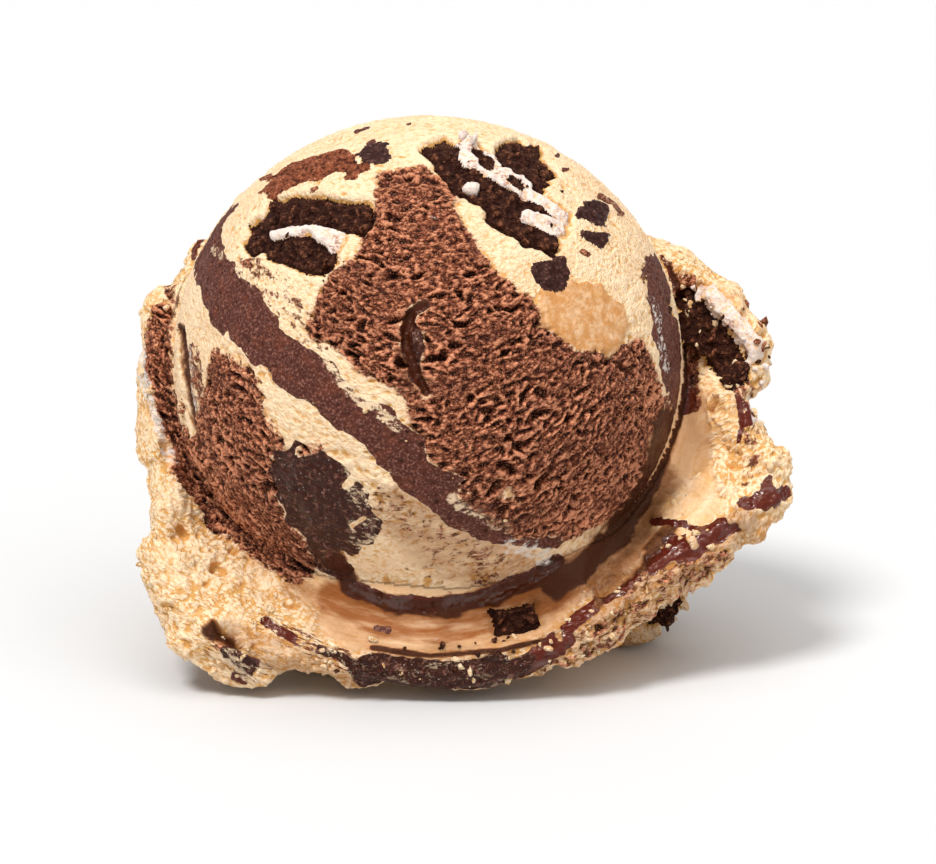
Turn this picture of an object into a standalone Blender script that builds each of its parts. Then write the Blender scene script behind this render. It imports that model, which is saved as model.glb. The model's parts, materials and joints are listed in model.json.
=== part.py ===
"""One scoop of golden and chocolate ice cream, rolled into a ball with a ragged collar.

Fudge, pieces of sandwich cookie, toffee and chips are set into it. It lies on a table with the
smooth dome leaning forward, towards -Y, and stands on a flat spot at z = 0. The origin is on the
table, in the middle of the finished scoop's box. Spots are given as seen from the front, in
millimetres to the right of a mark on the ball and above it, along a line of sight that looks down
by FRONT_TILT.
"""

import math

import bmesh
import bpy
from mathutils import Matrix, Vector, noise
from mathutils.bvhtree import BVHTree

MM = 0.001

# The ball, and how it lies
BALL_RADIUS = 31.8 * MM
BALL_WIDENING = 1.035
BALL_HEIGHT = 38.0 * MM
BACK_FLATTENING = 0.86
FRONT_TILT = math.radians(15)
DOME_TILT = math.radians(40)
MARK_RIGHT = -0.1
MARK_UP = 0.65

# The collar: angle round the dome's axis, reach from that axis, height of the lip's front edge
# along the axis, and the lip's thickness
COLLAR = (
    (0, 43.6, 2.5, 8.0),
    (12, 42.5, 2.0, 8.0),
    (22, 39.0, 1.0, 7.0),
    (34, 35.6, -1.5, 6.0),
    (50, 33.0, -4.0, 5.0),
    (90, 32.6, -5.0, 5.0),
    (130, 33.4, -4.0, 5.0),
    (152, 36.0, -1.0, 6.0),
    (168, 36.6, 2.5, 7.0),
    (190, 37.6, 2.5, 8.0),
    (208, 39.6, 1.5, 8.0),
    (220, 45.6, 1.0, 8.0),
    (231, 49.8, 0.5, 8.5),
    (241, 47.8, 0.0, 8.5),
    (252, 44.0, 0.0, 8.0),
    (270, 43.2, 0.5, 8.0),
    (300, 44.6, 1.0, 8.0),
    (320, 45.6, 2.0, 8.0),
    (331, 47.0, 2.5, 7.0),
    (339, 48.8, 2.0, 6.0),
    (345, 44.6, 2.0, 7.0),
    (351, 40.6, 2.5, 8.0),
)
COLLAR_STEPS = 120
COLLAR_RAGGEDNESS = 1.3 * MM
WIDE_NOTCHES = 6.0
FINE_NOTCHES = 15.0
RIM_WAVES = 5.0
VALLEY_HEIGHT = -4.6 * MM

# The foot that the scoop settles on
FOOT_CENTRE = Vector((1.0, 3.0, 12.0)) * MM
FOOT_RADII = Vector((32.0, 25.5, 20.0)) * MM
FOOT_LUMPS = 0.12
FOOT_LUMPS_ROUND_IT = 2.5

# The cookies' uneven faces come out the same in each run
NOISE_SEED = 3

# How finely the solids are made
FUSE_VOXEL = 1.15 * MM
BODY_TRIANGLES = 3000
PORE_TRIANGLES = 4200
GAP = 0.32 * MM
STEEPEST = 0.5
WELD = 0.003 * MM
CRAG_HEIGHT = 1.5 * MM
WIDE_CRAGS = 5.2 * MM
FINE_CRAGS = 2.6 * MM
PORE_DEPTH = 0.75 * MM

# Outlines of the chocolate ice cream and the fudge on the ball, seen from the front
CHOCOLATE_FRONT = (
    (-5.2, 21.7), (-0.9, 23.2), (3.2, 20.6), (6.9, 12.9), (10.8, 9.5), (13.4, 6.4), (15.6, 2.0),
    (18.3, 0.1), (23.2, -0.1), (26.0, 1.6), (28.0, 0.9), (29.4, -4.0), (28.7, -9.5), (26.3, -15.6),
    (22.1, -20.4), (15.3, -20.6), (10.1, -16.8), (4.5, -16.8), (1.3, -13.6), (-1.9, -8.2),
    (-3.8, -4.5), (-7.9, -2.3), (-11.0, 0.6), (-13.9, 2.5), (-13.4, 5.8), (-11.0, 9.5),
    (-7.5, 12.1), (-6.6, 16.2),
)
CHOCOLATE_LEFT = (
    (-26.1, 0.8), (-24.3, 0.4), (-21.2, -2.1), (-20.1, -5.6), (-19.6, -8.2), (-17.4, -11.0),
    (-16.5, -16.4), (-14.9, -22.5), (-16.9, -25.2), (-20.4, -24.7), (-24.4, -22.4), (-27.0, -19.2),
    (-28.9, -15.4), (-29.0, -10.3), (-27.9, -5.6),
)
FUDGE_POOL = (
    (-20.4, -16.0), (-18.2, -12.1), (-14.2, -11.2), (-9.5, -13.6), (-7.3, -17.1), (-5.3, -20.6),
    (-6.9, -23.1), (-9.1, -25.3), (-10.4, -29.0), (-13.5, -28.6), (-16.1, -24.4), (-19.2, -20.6),
)
CHOCOLATE_DEPTH = 5.0 * MM
POOL_DEPTH = 4.5 * MM
LID_HEIGHT = BALL_RADIUS + 3.0 * MM
FLOOR_HEIGHT = 7.0 * MM
COVER = 1.2 * MM

# Bands of fudge: spots along the middle, each with the band's half width
RIBBON = (
    (-24.6, 19.0, 0.9), (-27.3, 14.2, 2.0), (-26.9, 9.2, 2.8), (-24.0, 5.2, 3.1), (-19.7, 1.6, 3.1),
    (-15.2, -2.3, 3.0), (-10.6, -6.2, 2.9), (-5.5, -9.9, 2.9), (-1.0, -14.6, 2.9),
    (3.8, -18.5, 2.8), (8.6, -21.2, 2.8), (13.4, -22.6, 2.3), (17.6, -23.2, 1.5),
)
RIBBON_DEPTH = 5.2 * MM

# Strings of fudge and chocolate that lie half sunk in the surface: spots with a half width
STRANDS = {
    "fudge_streak": (
        (-0.7, 6.6, 0.7), (-1.9, 3.4, 1.0), (-1.4, 0.2, 1.1), (-1.9, -2.6, 1.0), (-0.9, -5.4, 0.7),
    ),
    "fudge_horn": ((41.4, -19.0, 1.5), (43.8, -17.8, 1.9), (45.6, -17.3, 2.2)),
    "fudge_vein_base": (
        (-12.6, -38.2, 1.1), (-7.0, -39.8, 1.7), (-1.0, -41.0, 2.0), (5.4, -41.2, 2.2),
        (11.4, -39.8, 2.1), (16.6, -37.0, 1.6), (21.4, -33.4, 1.2),
    ),
    "fudge_vein_right": (
        (24.0, -30.6, 1.0), (28.2, -27.0, 1.2), (32.4, -24.0, 1.6), (36.4, -22.4, 1.5),
        (40.0, -20.4, 1.3),
    ),
    "fudge_vein_edge": ((40.6, -3.6, 1.0), (41.6, -7.4, 1.2), (41.0, -11.6, 1.0)),
    "fudge_vein_left": ((-27.4, -37.4, 1.0), (-23.6, -38.8, 1.7), (-19.4, -39.6, 1.8)),
    "fudge_sheet": (
        (29.2, 12.0, 1.0), (30.8, 8.4, 1.6), (31.8, 4.0, 1.8), (32.2, -0.6, 1.6), (32.0, -4.8, 1.0),
    ),
    "fudge_arc": (
        (-11.6, -28.9, 0.9), (-8.0, -30.4, 1.2), (-3.2, -31.4, 1.3), (2.6, -31.4, 1.3),
        (8.8, -30.3, 1.2), (14.4, -28.0, 1.1), (19.4, -24.6, 0.9),
    ),
    "chocolate_strip": (
        (-34.7, 5.8, 1.4), (-34.9, 1.6, 1.9), (-34.4, -3.2, 2.0), (-33.2, -8.0, 2.0),
        (-31.2, -12.6, 1.8), (-28.9, -17.2, 1.4),
    ),
}

STRAND_SIDES = 6
STRAND_SINK = 0.45
PATH_SMOOTHING = 9

# Slabs of sandwich cookie, set edge on into the surface: place, turn, length, thickness,
# depth, and how far they stand proud
COOKIE_WAFERS = {
    "cookie_left_upper_wafer": (-13.6, 17.6, -6, 13.0, 3.6, 7.0, 0.4),
    "cookie_left_lower_wafer": (-16.6, 13.2, -24, 10.4, 3.6, 6.5, 0.4),
    "cookie_top_left_wafer": (3.4, 24.0, -52, 8.2, 4.2, 7.0, 0.0),
    "cookie_top_right_wafer": (12.6, 24.2, -50, 7.4, 5.0, 7.0, 0.0),
    "cookie_top_low_wafer": (12.6, 17.0, -38, 10.4, 3.8, 6.0, 0.3),
    "cookie_trough_wafer": (11.2, -33.2, 8, 6.0, 3.6, 5.0, 0.4),
    "cookie_right_wafer": (37.2, 2.0, -52, 12.4, 4.8, 7.0, 1.2),
    "cookie_under_wafer": (31.4, -33.0, 62, 5.4, 3.4, 5.0, 1.4),
}
COOKIE_CREAMS = {
    "cookie_left_cream": (-14.0, 15.6, -14, 8.6, 1.7, 5.5, 0.3),
    "cookie_top_cream": (8.2, 23.8, -47, 10.4, 2.1, 6.0, 0.5),
    "cookie_top_low_cream": (15.4, 18.2, -32, 6.2, 2.0, 5.0, 0.4),
    "cookie_right_cream": (39.8, 4.8, -52, 10.8, 2.4, 6.0, 1.5),
}

# Rounded pieces: place, half width, half height, half depth, turn, and how far they stand proud
TOFFEE = {
    "toffee_piece": (19.9, 4.4, 7.6, 5.6, 3.6, -38, 0.45),
}
FLAKES = {
    "chocolate_flake": (-14.6, 23.2, 6.6, 2.2, 2.8, 21, 0.8),
    "dark_flake": (-6.4, 25.4, 2.6, 1.2, 1.8, 14, 0.6),
}
CHIPS = {
    "chip_middle": (15.7, 10.3, 2.1, 1.9, 1.9, 10, 0.7),
    "chip_upper": (21.6, 18.2, 1.9, 1.3, 1.5, -22, 0.6),
    "chip_lower": (21.7, 15.7, 2.0, 0.9, 1.3, -32, 0.5),
}

SMOOTH_ANGLE = math.radians(40)
CENTRE = Vector((0, 0, BALL_HEIGHT))
RIGHT = Vector((1, 0, 0))
FRONT = Vector((0, -math.cos(FRONT_TILT), math.sin(FRONT_TILT)))
UP = Vector((0, math.sin(FRONT_TILT), math.cos(FRONT_TILT)))
DOME = Vector((0, -math.cos(DOME_TILT), math.sin(DOME_TILT)))
DOME_UP = Vector((0, math.sin(DOME_TILT), math.cos(DOME_TILT)))


def clear_scene():
    for obj in list(bpy.data.objects):
        bpy.data.objects.remove(obj)


def material(name, colour, roughness):
    """A Principled BSDF finish of one colour."""
    finish = bpy.data.materials.new(name)
    finish.use_nodes = True
    shader = finish.node_tree.nodes["Principled BSDF"]
    shader.inputs["Base Color"].default_value = (*colour, 1)
    shader.inputs["Roughness"].default_value = roughness
    shader.inputs["Metallic"].default_value = 0
    return finish


def object_of(name, bm):
    """A linked object that takes over the bmesh."""
    mesh = bpy.data.meshes.new(name)
    bmesh.ops.recalc_face_normals(bm, faces=bm.faces)
    bm.to_mesh(mesh)
    bm.free()
    obj = bpy.data.objects.new(name, mesh)
    bpy.context.scene.collection.objects.link(obj)
    return obj


def apply_modifiers(obj):
    """Puts what the modifiers make into the object's own mesh."""
    bpy.context.view_layer.update()
    graph = bpy.context.evaluated_depsgraph_get()
    made = bpy.data.meshes.new_from_object(obj.evaluated_get(graph))
    obj.modifiers.clear()
    obj.data = made


def combine(obj, other, operation, solver="EXACT"):
    """One applied Boolean; the other object is left for further use."""
    cut = obj.modifiers.new(operation, "BOOLEAN")
    cut.object = other
    cut.operation = operation
    cut.solver = solver
    apply_modifiers(obj)


def bodies(bm):
    """The faces in groups that hang together by their edges, the largest last."""
    unseen = set(bm.faces)
    groups = []
    while unseen:
        front = [unseen.pop()]
        group = list(front)
        while front:
            for edge in front.pop().edges:
                for face in edge.link_faces:
                    if face in unseen:
                        unseen.remove(face)
                        group.append(face)
                        front.append(face)
        groups.append(group)
    return sorted(groups, key=len)


def keep_largest(obj):
    """Welds the slivers that a cut leaves, and drops the scraps beside the main solid."""
    bm = bmesh.new()
    bm.from_mesh(obj.data)
    bmesh.ops.triangulate(bm, faces=bm.faces)
    bmesh.ops.remove_doubles(bm, verts=bm.verts, dist=WELD)
    bmesh.ops.dissolve_degenerate(bm, dist=WELD, edges=bm.edges)
    bmesh.ops.triangulate(bm, faces=bm.faces)
    flaps = {}
    for face in bm.faces:
        flaps.setdefault(frozenset(face.verts), []).append(face)
    folded = [face for pair in flaps.values() if len(pair) > 1 for face in pair]
    bmesh.ops.delete(bm, geom=folded, context="FACES")
    inner = [face for face in bm.faces if all(len(edge.link_faces) > 2 for edge in face.edges)]
    bmesh.ops.delete(bm, geom=inner, context="FACES")
    scraps = [face for group in bodies(bm)[:-1] for face in group]
    bmesh.ops.delete(bm, geom=scraps, context="FACES")
    bm.to_mesh(obj.data)
    bm.free()


def thin(obj, triangles):
    """Brings a solid down to a number of triangles where it has more."""
    present = sum(len(face.vertices) - 2 for face in obj.data.polygons)
    if present > triangles:
        shed = obj.modifiers.new("Thin", "DECIMATE")
        shed.ratio = triangles / present
        apply_modifiers(obj)


def grown(obj, distance):
    """A copy of the object, larger by an even distance on every side."""
    bm = bmesh.new()
    bm.from_mesh(obj.data)
    bm.normal_update()
    moves = [(vert, vert.normal * min(vert.calc_shell_factor(), 2.0) * distance) for vert in bm.verts]
    for vert, move in moves:
        vert.co += move
    return object_of(obj.name + "_room", bm)


def spot_on_ball(across, above):
    """The point of the ball's surface that is seen at this place from the front."""
    across = (across + MARK_RIGHT) * MM / BALL_WIDENING
    above = (above + MARK_UP) * MM
    limit = BALL_RADIUS * 0.999
    reach = math.hypot(across, above)
    if reach > limit:
        across, above = across * limit / reach, above * limit / reach
    depth = math.sqrt(BALL_RADIUS**2 - across**2 - above**2)
    return CENTRE + RIGHT * across + UP * above + FRONT * depth


def spot_on_surface(tree, across, above):
    """The point of the scoop's surface that is seen at this place from the front, and its normal."""
    across = (across + MARK_RIGHT) * MM / BALL_WIDENING
    above = (above + MARK_UP) * MM
    start = CENTRE + RIGHT * across + UP * above + FRONT * 0.2
    point, normal, _, _ = tree.ray_cast(start, -FRONT)
    if point is None:
        point, normal, _, _ = tree.find_nearest(start - FRONT * 0.2)
    return point, normal


def at_angle(degrees):
    """The collar's reach, lip height and lip thickness at an angle, smooth through the stations."""
    count = len(COLLAR)
    degrees %= 360
    after = next((i for i, row in enumerate(COLLAR) if row[0] > degrees), 0)
    rows = [COLLAR[(after + step) % count] for step in (-2, -1, 0, 1)]
    span = (rows[2][0] - rows[1][0]) % 360
    part = ((degrees - rows[1][0]) % 360) / span
    values = []
    for column in (1, 2, 3):
        p0, p1, p2, p3 = (row[column] for row in rows)
        slope_in, slope_out = (p2 - p0) / 2, (p3 - p1) / 2
        squared, cubed = part * part, part**3
        values.append(
            (2 * cubed - 3 * squared + 1) * p1
            + (cubed - 2 * squared + part) * slope_in
            + (3 * squared - 2 * cubed) * p2
            + (cubed - squared) * slope_out
        )
    return [value * MM for value in values]


def ball():
    """The rolled ball, a little flatter behind."""
    bm = bmesh.new()
    bmesh.ops.create_icosphere(bm, subdivisions=5, radius=BALL_RADIUS)
    for vert in bm.verts:
        height = vert.co.dot(DOME)
        if height < 0:
            vert.co -= DOME * height * (1 - BACK_FLATTENING)
        vert.co += CENTRE
    return object_of("ball", bm)


def collar_profile(degrees):
    """The closed section of the collar at an angle, as (reach, height along the dome's axis)."""
    reach, lift, thickness = at_angle(degrees)
    wobble = Vector((math.cos(math.radians(degrees)), math.sin(math.radians(degrees)), 0))
    reach += COLLAR_RAGGEDNESS * noise.noise(wobble * WIDE_NOTCHES + Vector((3, 1, 0)))
    reach += 0.5 * COLLAR_RAGGEDNESS * noise.noise(wobble * FINE_NOTCHES)
    lift += COLLAR_RAGGEDNESS * noise.noise(wobble * RIM_WAVES + Vector((7, 2, 5)))
    spread = max(reach - BALL_RADIUS, 0)
    return (
        (22.0 * MM, -3.0 * MM),
        (BALL_RADIUS - 1.0 * MM, VALLEY_HEIGHT),
        (BALL_RADIUS + 0.12 * spread, VALLEY_HEIGHT),
        (BALL_RADIUS + 0.42 * spread, 0.6 * lift - 1.2 * MM),
        (reach - 2.8 * MM, lift),
        (reach - 0.6 * MM, lift - 0.30 * thickness),
        (reach, lift - 0.62 * thickness),
        (reach - 2.4 * MM, lift - thickness),
        (30.0 * MM, -11.0 * MM),
        (20.0 * MM, -15.0 * MM),
    )


def collar():
    """The ragged collar, its section swept round the dome's axis."""
    bm = bmesh.new()
    rings = []
    for step in range(COLLAR_STEPS):
        degrees = 360 * step / COLLAR_STEPS
        turn = math.radians(degrees)
        out = RIGHT * math.cos(turn) + DOME_UP * math.sin(turn)
        rings.append([bm.verts.new(CENTRE + out * r + DOME * h) for r, h in collar_profile(degrees)])
    for ring, after in zip(rings, rings[1:] + rings[:1]):
        for i in range(len(ring)):
            j = (i + 1) % len(ring)
            bm.faces.new((ring[i], ring[j], after[j], after[i]))
    return object_of("collar", bm)


def foot():
    """The settled mass under the ball."""
    bm = bmesh.new()
    bmesh.ops.create_icosphere(bm, subdivisions=4, radius=1)
    for vert in bm.verts:
        place = Vector(x * r for x, r in zip(vert.co, FOOT_RADII))
        lump = FOOT_LUMPS * noise.noise(vert.co * FOOT_LUMPS_ROUND_IT)
        vert.co = FOOT_CENTRE + place * (1 + lump)
    return object_of("foot", bm)


def roughness_at(point):
    """0 on the smooth dome, 1 on the torn collar, back and foot."""
    out = point - CENTRE
    height = out.dot(DOME)
    beyond = (out.length - BALL_RADIUS - 0.8 * MM) / (2.5 * MM)
    behind = (-6.0 * MM - height) / (6.0 * MM)
    return min(max(beyond, behind, 0), 1)


def crags(point):
    """Height of the torn relief at a point, from -1 to 1 or so."""
    coarse = noise.noise(point / WIDE_CRAGS)
    fine = noise.noise(point / FINE_CRAGS + Vector((9, 4, 1)))
    return coarse + 0.55 * fine


def scoop_body():
    """Ball, collar and foot fused, torn where they are rough, and cut flat to stand."""
    pieces = [ball(), collar(), foot()]
    bm = bmesh.new()
    for piece in pieces:
        bm.from_mesh(piece.data)
        bpy.data.objects.remove(piece)
    mesh = bpy.data.meshes.new("golden_ice_cream")
    bm.to_mesh(mesh)
    bm.free()
    body = bpy.data.objects.new("golden_ice_cream", mesh)
    bpy.context.scene.collection.objects.link(body)
    fuse = body.modifiers.new("Fuse", "REMESH")
    fuse.mode = "VOXEL"
    fuse.voxel_size = FUSE_VOXEL
    soften = body.modifiers.new("Soften", "SMOOTH")
    soften.factor = 0.5
    soften.iterations = 2
    apply_modifiers(body)
    bm = bmesh.new()
    bm.from_mesh(body.data)
    bm.normal_update()
    moves = []
    for vert in bm.verts:
        rough = roughness_at(vert.co)
        moves.append((vert, vert.normal * CRAG_HEIGHT * crags(vert.co) * rough))
    for vert, move in moves:
        vert.co += move
    bmesh.ops.triangulate(bm, faces=bm.faces)
    bm.to_mesh(body.data)
    bm.free()
    thin(body, BODY_TRIANGLES)
    table = slab_under_table()
    combine(body, table, "DIFFERENCE")
    bpy.data.objects.remove(table)
    keep_largest(body)
    return body


def slab_under_table():
    """A block whose top is the table, to cut the flat spot."""
    bm = bmesh.new()
    bmesh.ops.create_cube(bm, size=1)
    bmesh.ops.scale(bm, vec=(0.2, 0.2, 0.04), verts=bm.verts)
    bmesh.ops.translate(bm, vec=(0, 0, -0.02), verts=bm.verts)
    return object_of("table", bm)


def porous_ball():
    """The ball again with deep pores, from which the chocolate ice cream is cut."""
    bm = bmesh.new()
    bmesh.ops.create_icosphere(bm, subdivisions=6, radius=BALL_RADIUS)
    for vert in bm.verts:
        out = vert.co.normalized()
        cell = noise.noise(vert.co / (3.4 * MM)) + 0.6 * noise.noise(vert.co / (1.9 * MM))
        vert.co -= out * PORE_DEPTH * max(0, cell + 0.15)
        vert.co += CENTRE
    pores = object_of("porous_ball", bm)
    thin(pores, PORE_TRIANGLES)
    return pores


def plain_ball(name, radius, subdivisions):
    bm = bmesh.new()
    place = Matrix.Translation(CENTRE)
    bmesh.ops.create_icosphere(bm, subdivisions=subdivisions, radius=radius, matrix=place)
    return object_of(name, bm)


def prism(name, outline):
    """The outline as a wedge whose walls point at the ball's centre, through the whole skin."""
    spots = [(spot_on_ball(across, above) - CENTRE).normalized() for across, above in outline]
    axis = sum(spots, Vector()).normalized()
    bm = bmesh.new()
    lid = [bm.verts.new(CENTRE + spot * LID_HEIGHT / spot.dot(axis)) for spot in spots]
    floor = [bm.verts.new(CENTRE + spot * FLOOR_HEIGHT / spot.dot(axis)) for spot in spots]
    bm.faces.new(lid)
    bm.faces.new(reversed(floor))
    for i in range(len(spots)):
        j = (i + 1) % len(spots)
        bm.faces.new((lid[j], lid[i], floor[i], floor[j]))
    return object_of(name, bm)


def smooth_path(rows, steps):
    """Spots between the given ones on a smooth curve, with the width carried along."""
    padded = [rows[0], *rows, rows[-1]]
    path = []
    for p0, p1, p2, p3 in zip(padded, padded[1:], padded[2:], padded[3:]):
        for step in range(steps):
            part = step / steps
            squared, cubed = part * part, part**3
            path.append([
                0.5 * (2 * b + (c - a) * part + (2 * a - 5 * b + 4 * c - d) * squared
                       + (3 * b - a - 3 * c + d) * cubed)
                for a, b, c, d in zip(p0, p1, p2, p3)
            ])
    path.append(list(rows[-1]))
    return path


def band(name, rows, depth):
    """A band along spots on the ball, from above the surface down to a depth."""
    path = smooth_path(rows, 2)
    spots = [spot_on_ball(across, above) for across, above, _ in path]
    bm = bmesh.new()
    rings = []
    for i, spot in enumerate(spots):
        out = (spot - CENTRE).normalized()
        ahead = (spots[min(i + 1, len(spots) - 1)] - spots[max(i - 1, 0)]).normalized()
        side = out.cross(ahead).normalized() * path[i][2] * MM
        high, low = out * 3 * MM, -out * depth
        corners = (spot + side + high, spot - side + high, spot - side * 0.8 + low, spot + side * 0.8 + low)
        rings.append([bm.verts.new(corner) for corner in corners])
    for ring, after in zip(rings, rings[1:]):
        for i in range(4):
            bm.faces.new((ring[i], ring[(i + 1) % 4], after[(i + 1) % 4], after[i]))
    bm.faces.new(rings[0])
    bm.faces.new(reversed(rings[-1]))
    return object_of(name, bm)


def strand(name, rows, tree):
    """A lumpy string that follows the surface, half sunk in it, and its room."""
    path = smooth_path(rows, 2)
    spots = [spot_on_surface(tree, across, above) for across, above, _ in path]
    last = len(spots) - 1
    for _ in range(PATH_SMOOTHING):
        spots = [
            (
                (spots[max(i - 1, 0)][0] + spot * 2 + spots[min(i + 1, last)][0]) / 4,
                (spots[max(i - 1, 0)][1] + normal * 2 + spots[min(i + 1, last)][1]).normalized(),
            )
            for i, (spot, normal) in enumerate(spots)
        ]
    pieces = []
    for gap in (0, GAP):
        bm = bmesh.new()
        rings = []
        for i, (spot, normal) in enumerate(spots):
            ahead = (spots[min(i + 1, last)][0] - spots[max(i - 1, 0)][0]).normalized()
            side = normal.cross(ahead).normalized()
            out = ahead.cross(side).normalized()
            width = path[i][2] * MM * (1 + 0.25 * noise.noise(spot / (4 * MM)))
            centre = spot - out * width * STRAND_SINK
            centre += ahead * gap * ((i == last) - (i == 0))
            ring = []
            for corner in range(STRAND_SIDES):
                turn = 2 * math.pi * corner / STRAND_SIDES
                ring.append(bm.verts.new(
                    centre + (side * math.cos(turn) + out * math.sin(turn)) * (width + gap)
                ))
            rings.append(ring)
        for ring, after in zip(rings, rings[1:]):
            for i in range(STRAND_SIDES):
                j = (i + 1) % STRAND_SIDES
                bm.faces.new((ring[i], ring[j], after[j], after[i]))
        bm.faces.new(rings[0])
        bm.faces.new(reversed(rings[-1]))
        pieces.append(object_of(name, bm))
    return pieces


def placed(tree, across, above, turn):
    """The matrix that lays a piece on the surface so that it has its size as seen from the front."""
    point, normal = spot_on_surface(tree, across, above)
    if (point - CENTRE).length < BALL_RADIUS + 1 * MM:
        normal = (point - CENTRE).normalized()
    else:
        normal = (normal + FRONT * 1.5).normalized()
    facing = max(normal.dot(FRONT), STEEPEST)
    columns = []
    for angle in (turn, turn + 90):
        seen = RIGHT * math.cos(math.radians(angle)) + UP * math.sin(math.radians(angle))
        columns.append(seen - FRONT * seen.dot(normal) / facing)
    matrix = Matrix((*columns, normal)).transposed().to_4x4()
    matrix.translation = point
    return matrix


def with_room(name, bm, half_sizes, middle, matrix):
    """The piece put in its place, and a copy of it larger by the gap on every side."""
    pieces = []
    for gap in (0, GAP):
        copy = bm.copy()
        larger = Vector((half + gap) / half for half in half_sizes)
        bmesh.ops.scale(copy, vec=larger, verts=copy.verts)
        bmesh.ops.translate(copy, vec=middle, verts=copy.verts)
        bmesh.ops.transform(copy, matrix=matrix, verts=copy.verts)
        pieces.append(object_of(name, copy))
    bm.free()
    return pieces


def cookie_slab(name, tree, row, rough):
    """A broken slab set edge on into the surface, its faces crumbled."""
    across, above, turn, length, thickness, depth, proud = row
    bm = bmesh.new()
    bmesh.ops.create_cube(bm, size=1)
    size = Vector((length, thickness, depth)) * MM
    bmesh.ops.scale(bm, vec=size, verts=bm.verts)
    bmesh.ops.subdivide_edges(bm, edges=bm.edges, cuts=2, use_grid_fill=True)
    bmesh.ops.smooth_vert(bm, verts=bm.verts, factor=0.5, use_axis_x=True, use_axis_y=True, use_axis_z=True)
    shift = Vector((across, above, turn))
    for vert in bm.verts:
        vert.co += noise.noise_vector(vert.co / (2.2 * MM) + shift) * rough
    middle = Vector((0, 0, (proud - depth / 2) * MM))
    return with_room(name, bm, size / 2, middle, placed(tree, across, above, turn))


def rounded_piece(name, tree, row, rough):
    """An uneven rounded piece, sunk so that only its top stands proud."""
    across, above, width, height, depth, turn, proud = row
    bm = bmesh.new()
    bmesh.ops.create_icosphere(bm, subdivisions=2, radius=1)
    for vert in bm.verts:
        vert.co *= 1 + rough * noise.noise(vert.co * 1.7 + Vector((across, above, 0)))
    half_sizes = Vector((width, height, depth)) * MM
    bmesh.ops.scale(bm, vec=half_sizes, verts=bm.verts)
    middle = Vector((0, 0, (proud - depth) * MM))
    return with_room(name, bm, half_sizes, middle, placed(tree, across, above, turn))


def near(obj, other):
    """Whether two objects' boxes meet."""
    first = [obj.matrix_world @ Vector(c) for c in obj.bound_box]
    second = [other.matrix_world @ Vector(c) for c in other.bound_box]
    for axis in range(3):
        if max(c[axis] for c in first) < min(c[axis] for c in second) - GAP:
            return False
        if max(c[axis] for c in second) < min(c[axis] for c in first) - GAP:
            return False
    return True


def hollowed(shape, depth):
    """The shape without the ball's core, from the given depth down."""
    core = plain_ball("core", BALL_RADIUS - depth, 2)
    combine(shape, core, "DIFFERENCE")
    bpy.data.objects.remove(core)
    return shape


def inlay(name, shape, source, depth):
    """What a shape holds of the source, as a skin of the given depth."""
    node = object_of_copy(source, name)
    combine(node, shape, "INTERSECT")
    return hollowed(node, depth)


def object_of_copy(source, name):
    node = bpy.data.objects.new(name, source.data.copy())
    bpy.context.scene.collection.objects.link(node)
    return node


def finish(obj, look):
    obj.data.transform(Matrix.Scale(BALL_WIDENING, 4, RIGHT))
    obj.data.materials.clear()
    obj.data.materials.append(look)
    obj.data.shade_smooth()
    obj.data.set_sharp_from_angle(angle=SMOOTH_ANGLE)


def centre_on_origin(nodes):
    """Moves the finished solids so that their common box is centred over the origin."""
    corners = [vert.co for node in nodes for vert in node.data.vertices]
    middle = [(min(co[axis] for co in corners) + max(co[axis] for co in corners)) / 2 for axis in (0, 1)]
    for node in nodes:
        node.data.transform(Matrix.Translation((-middle[0], -middle[1], 0)))


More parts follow.
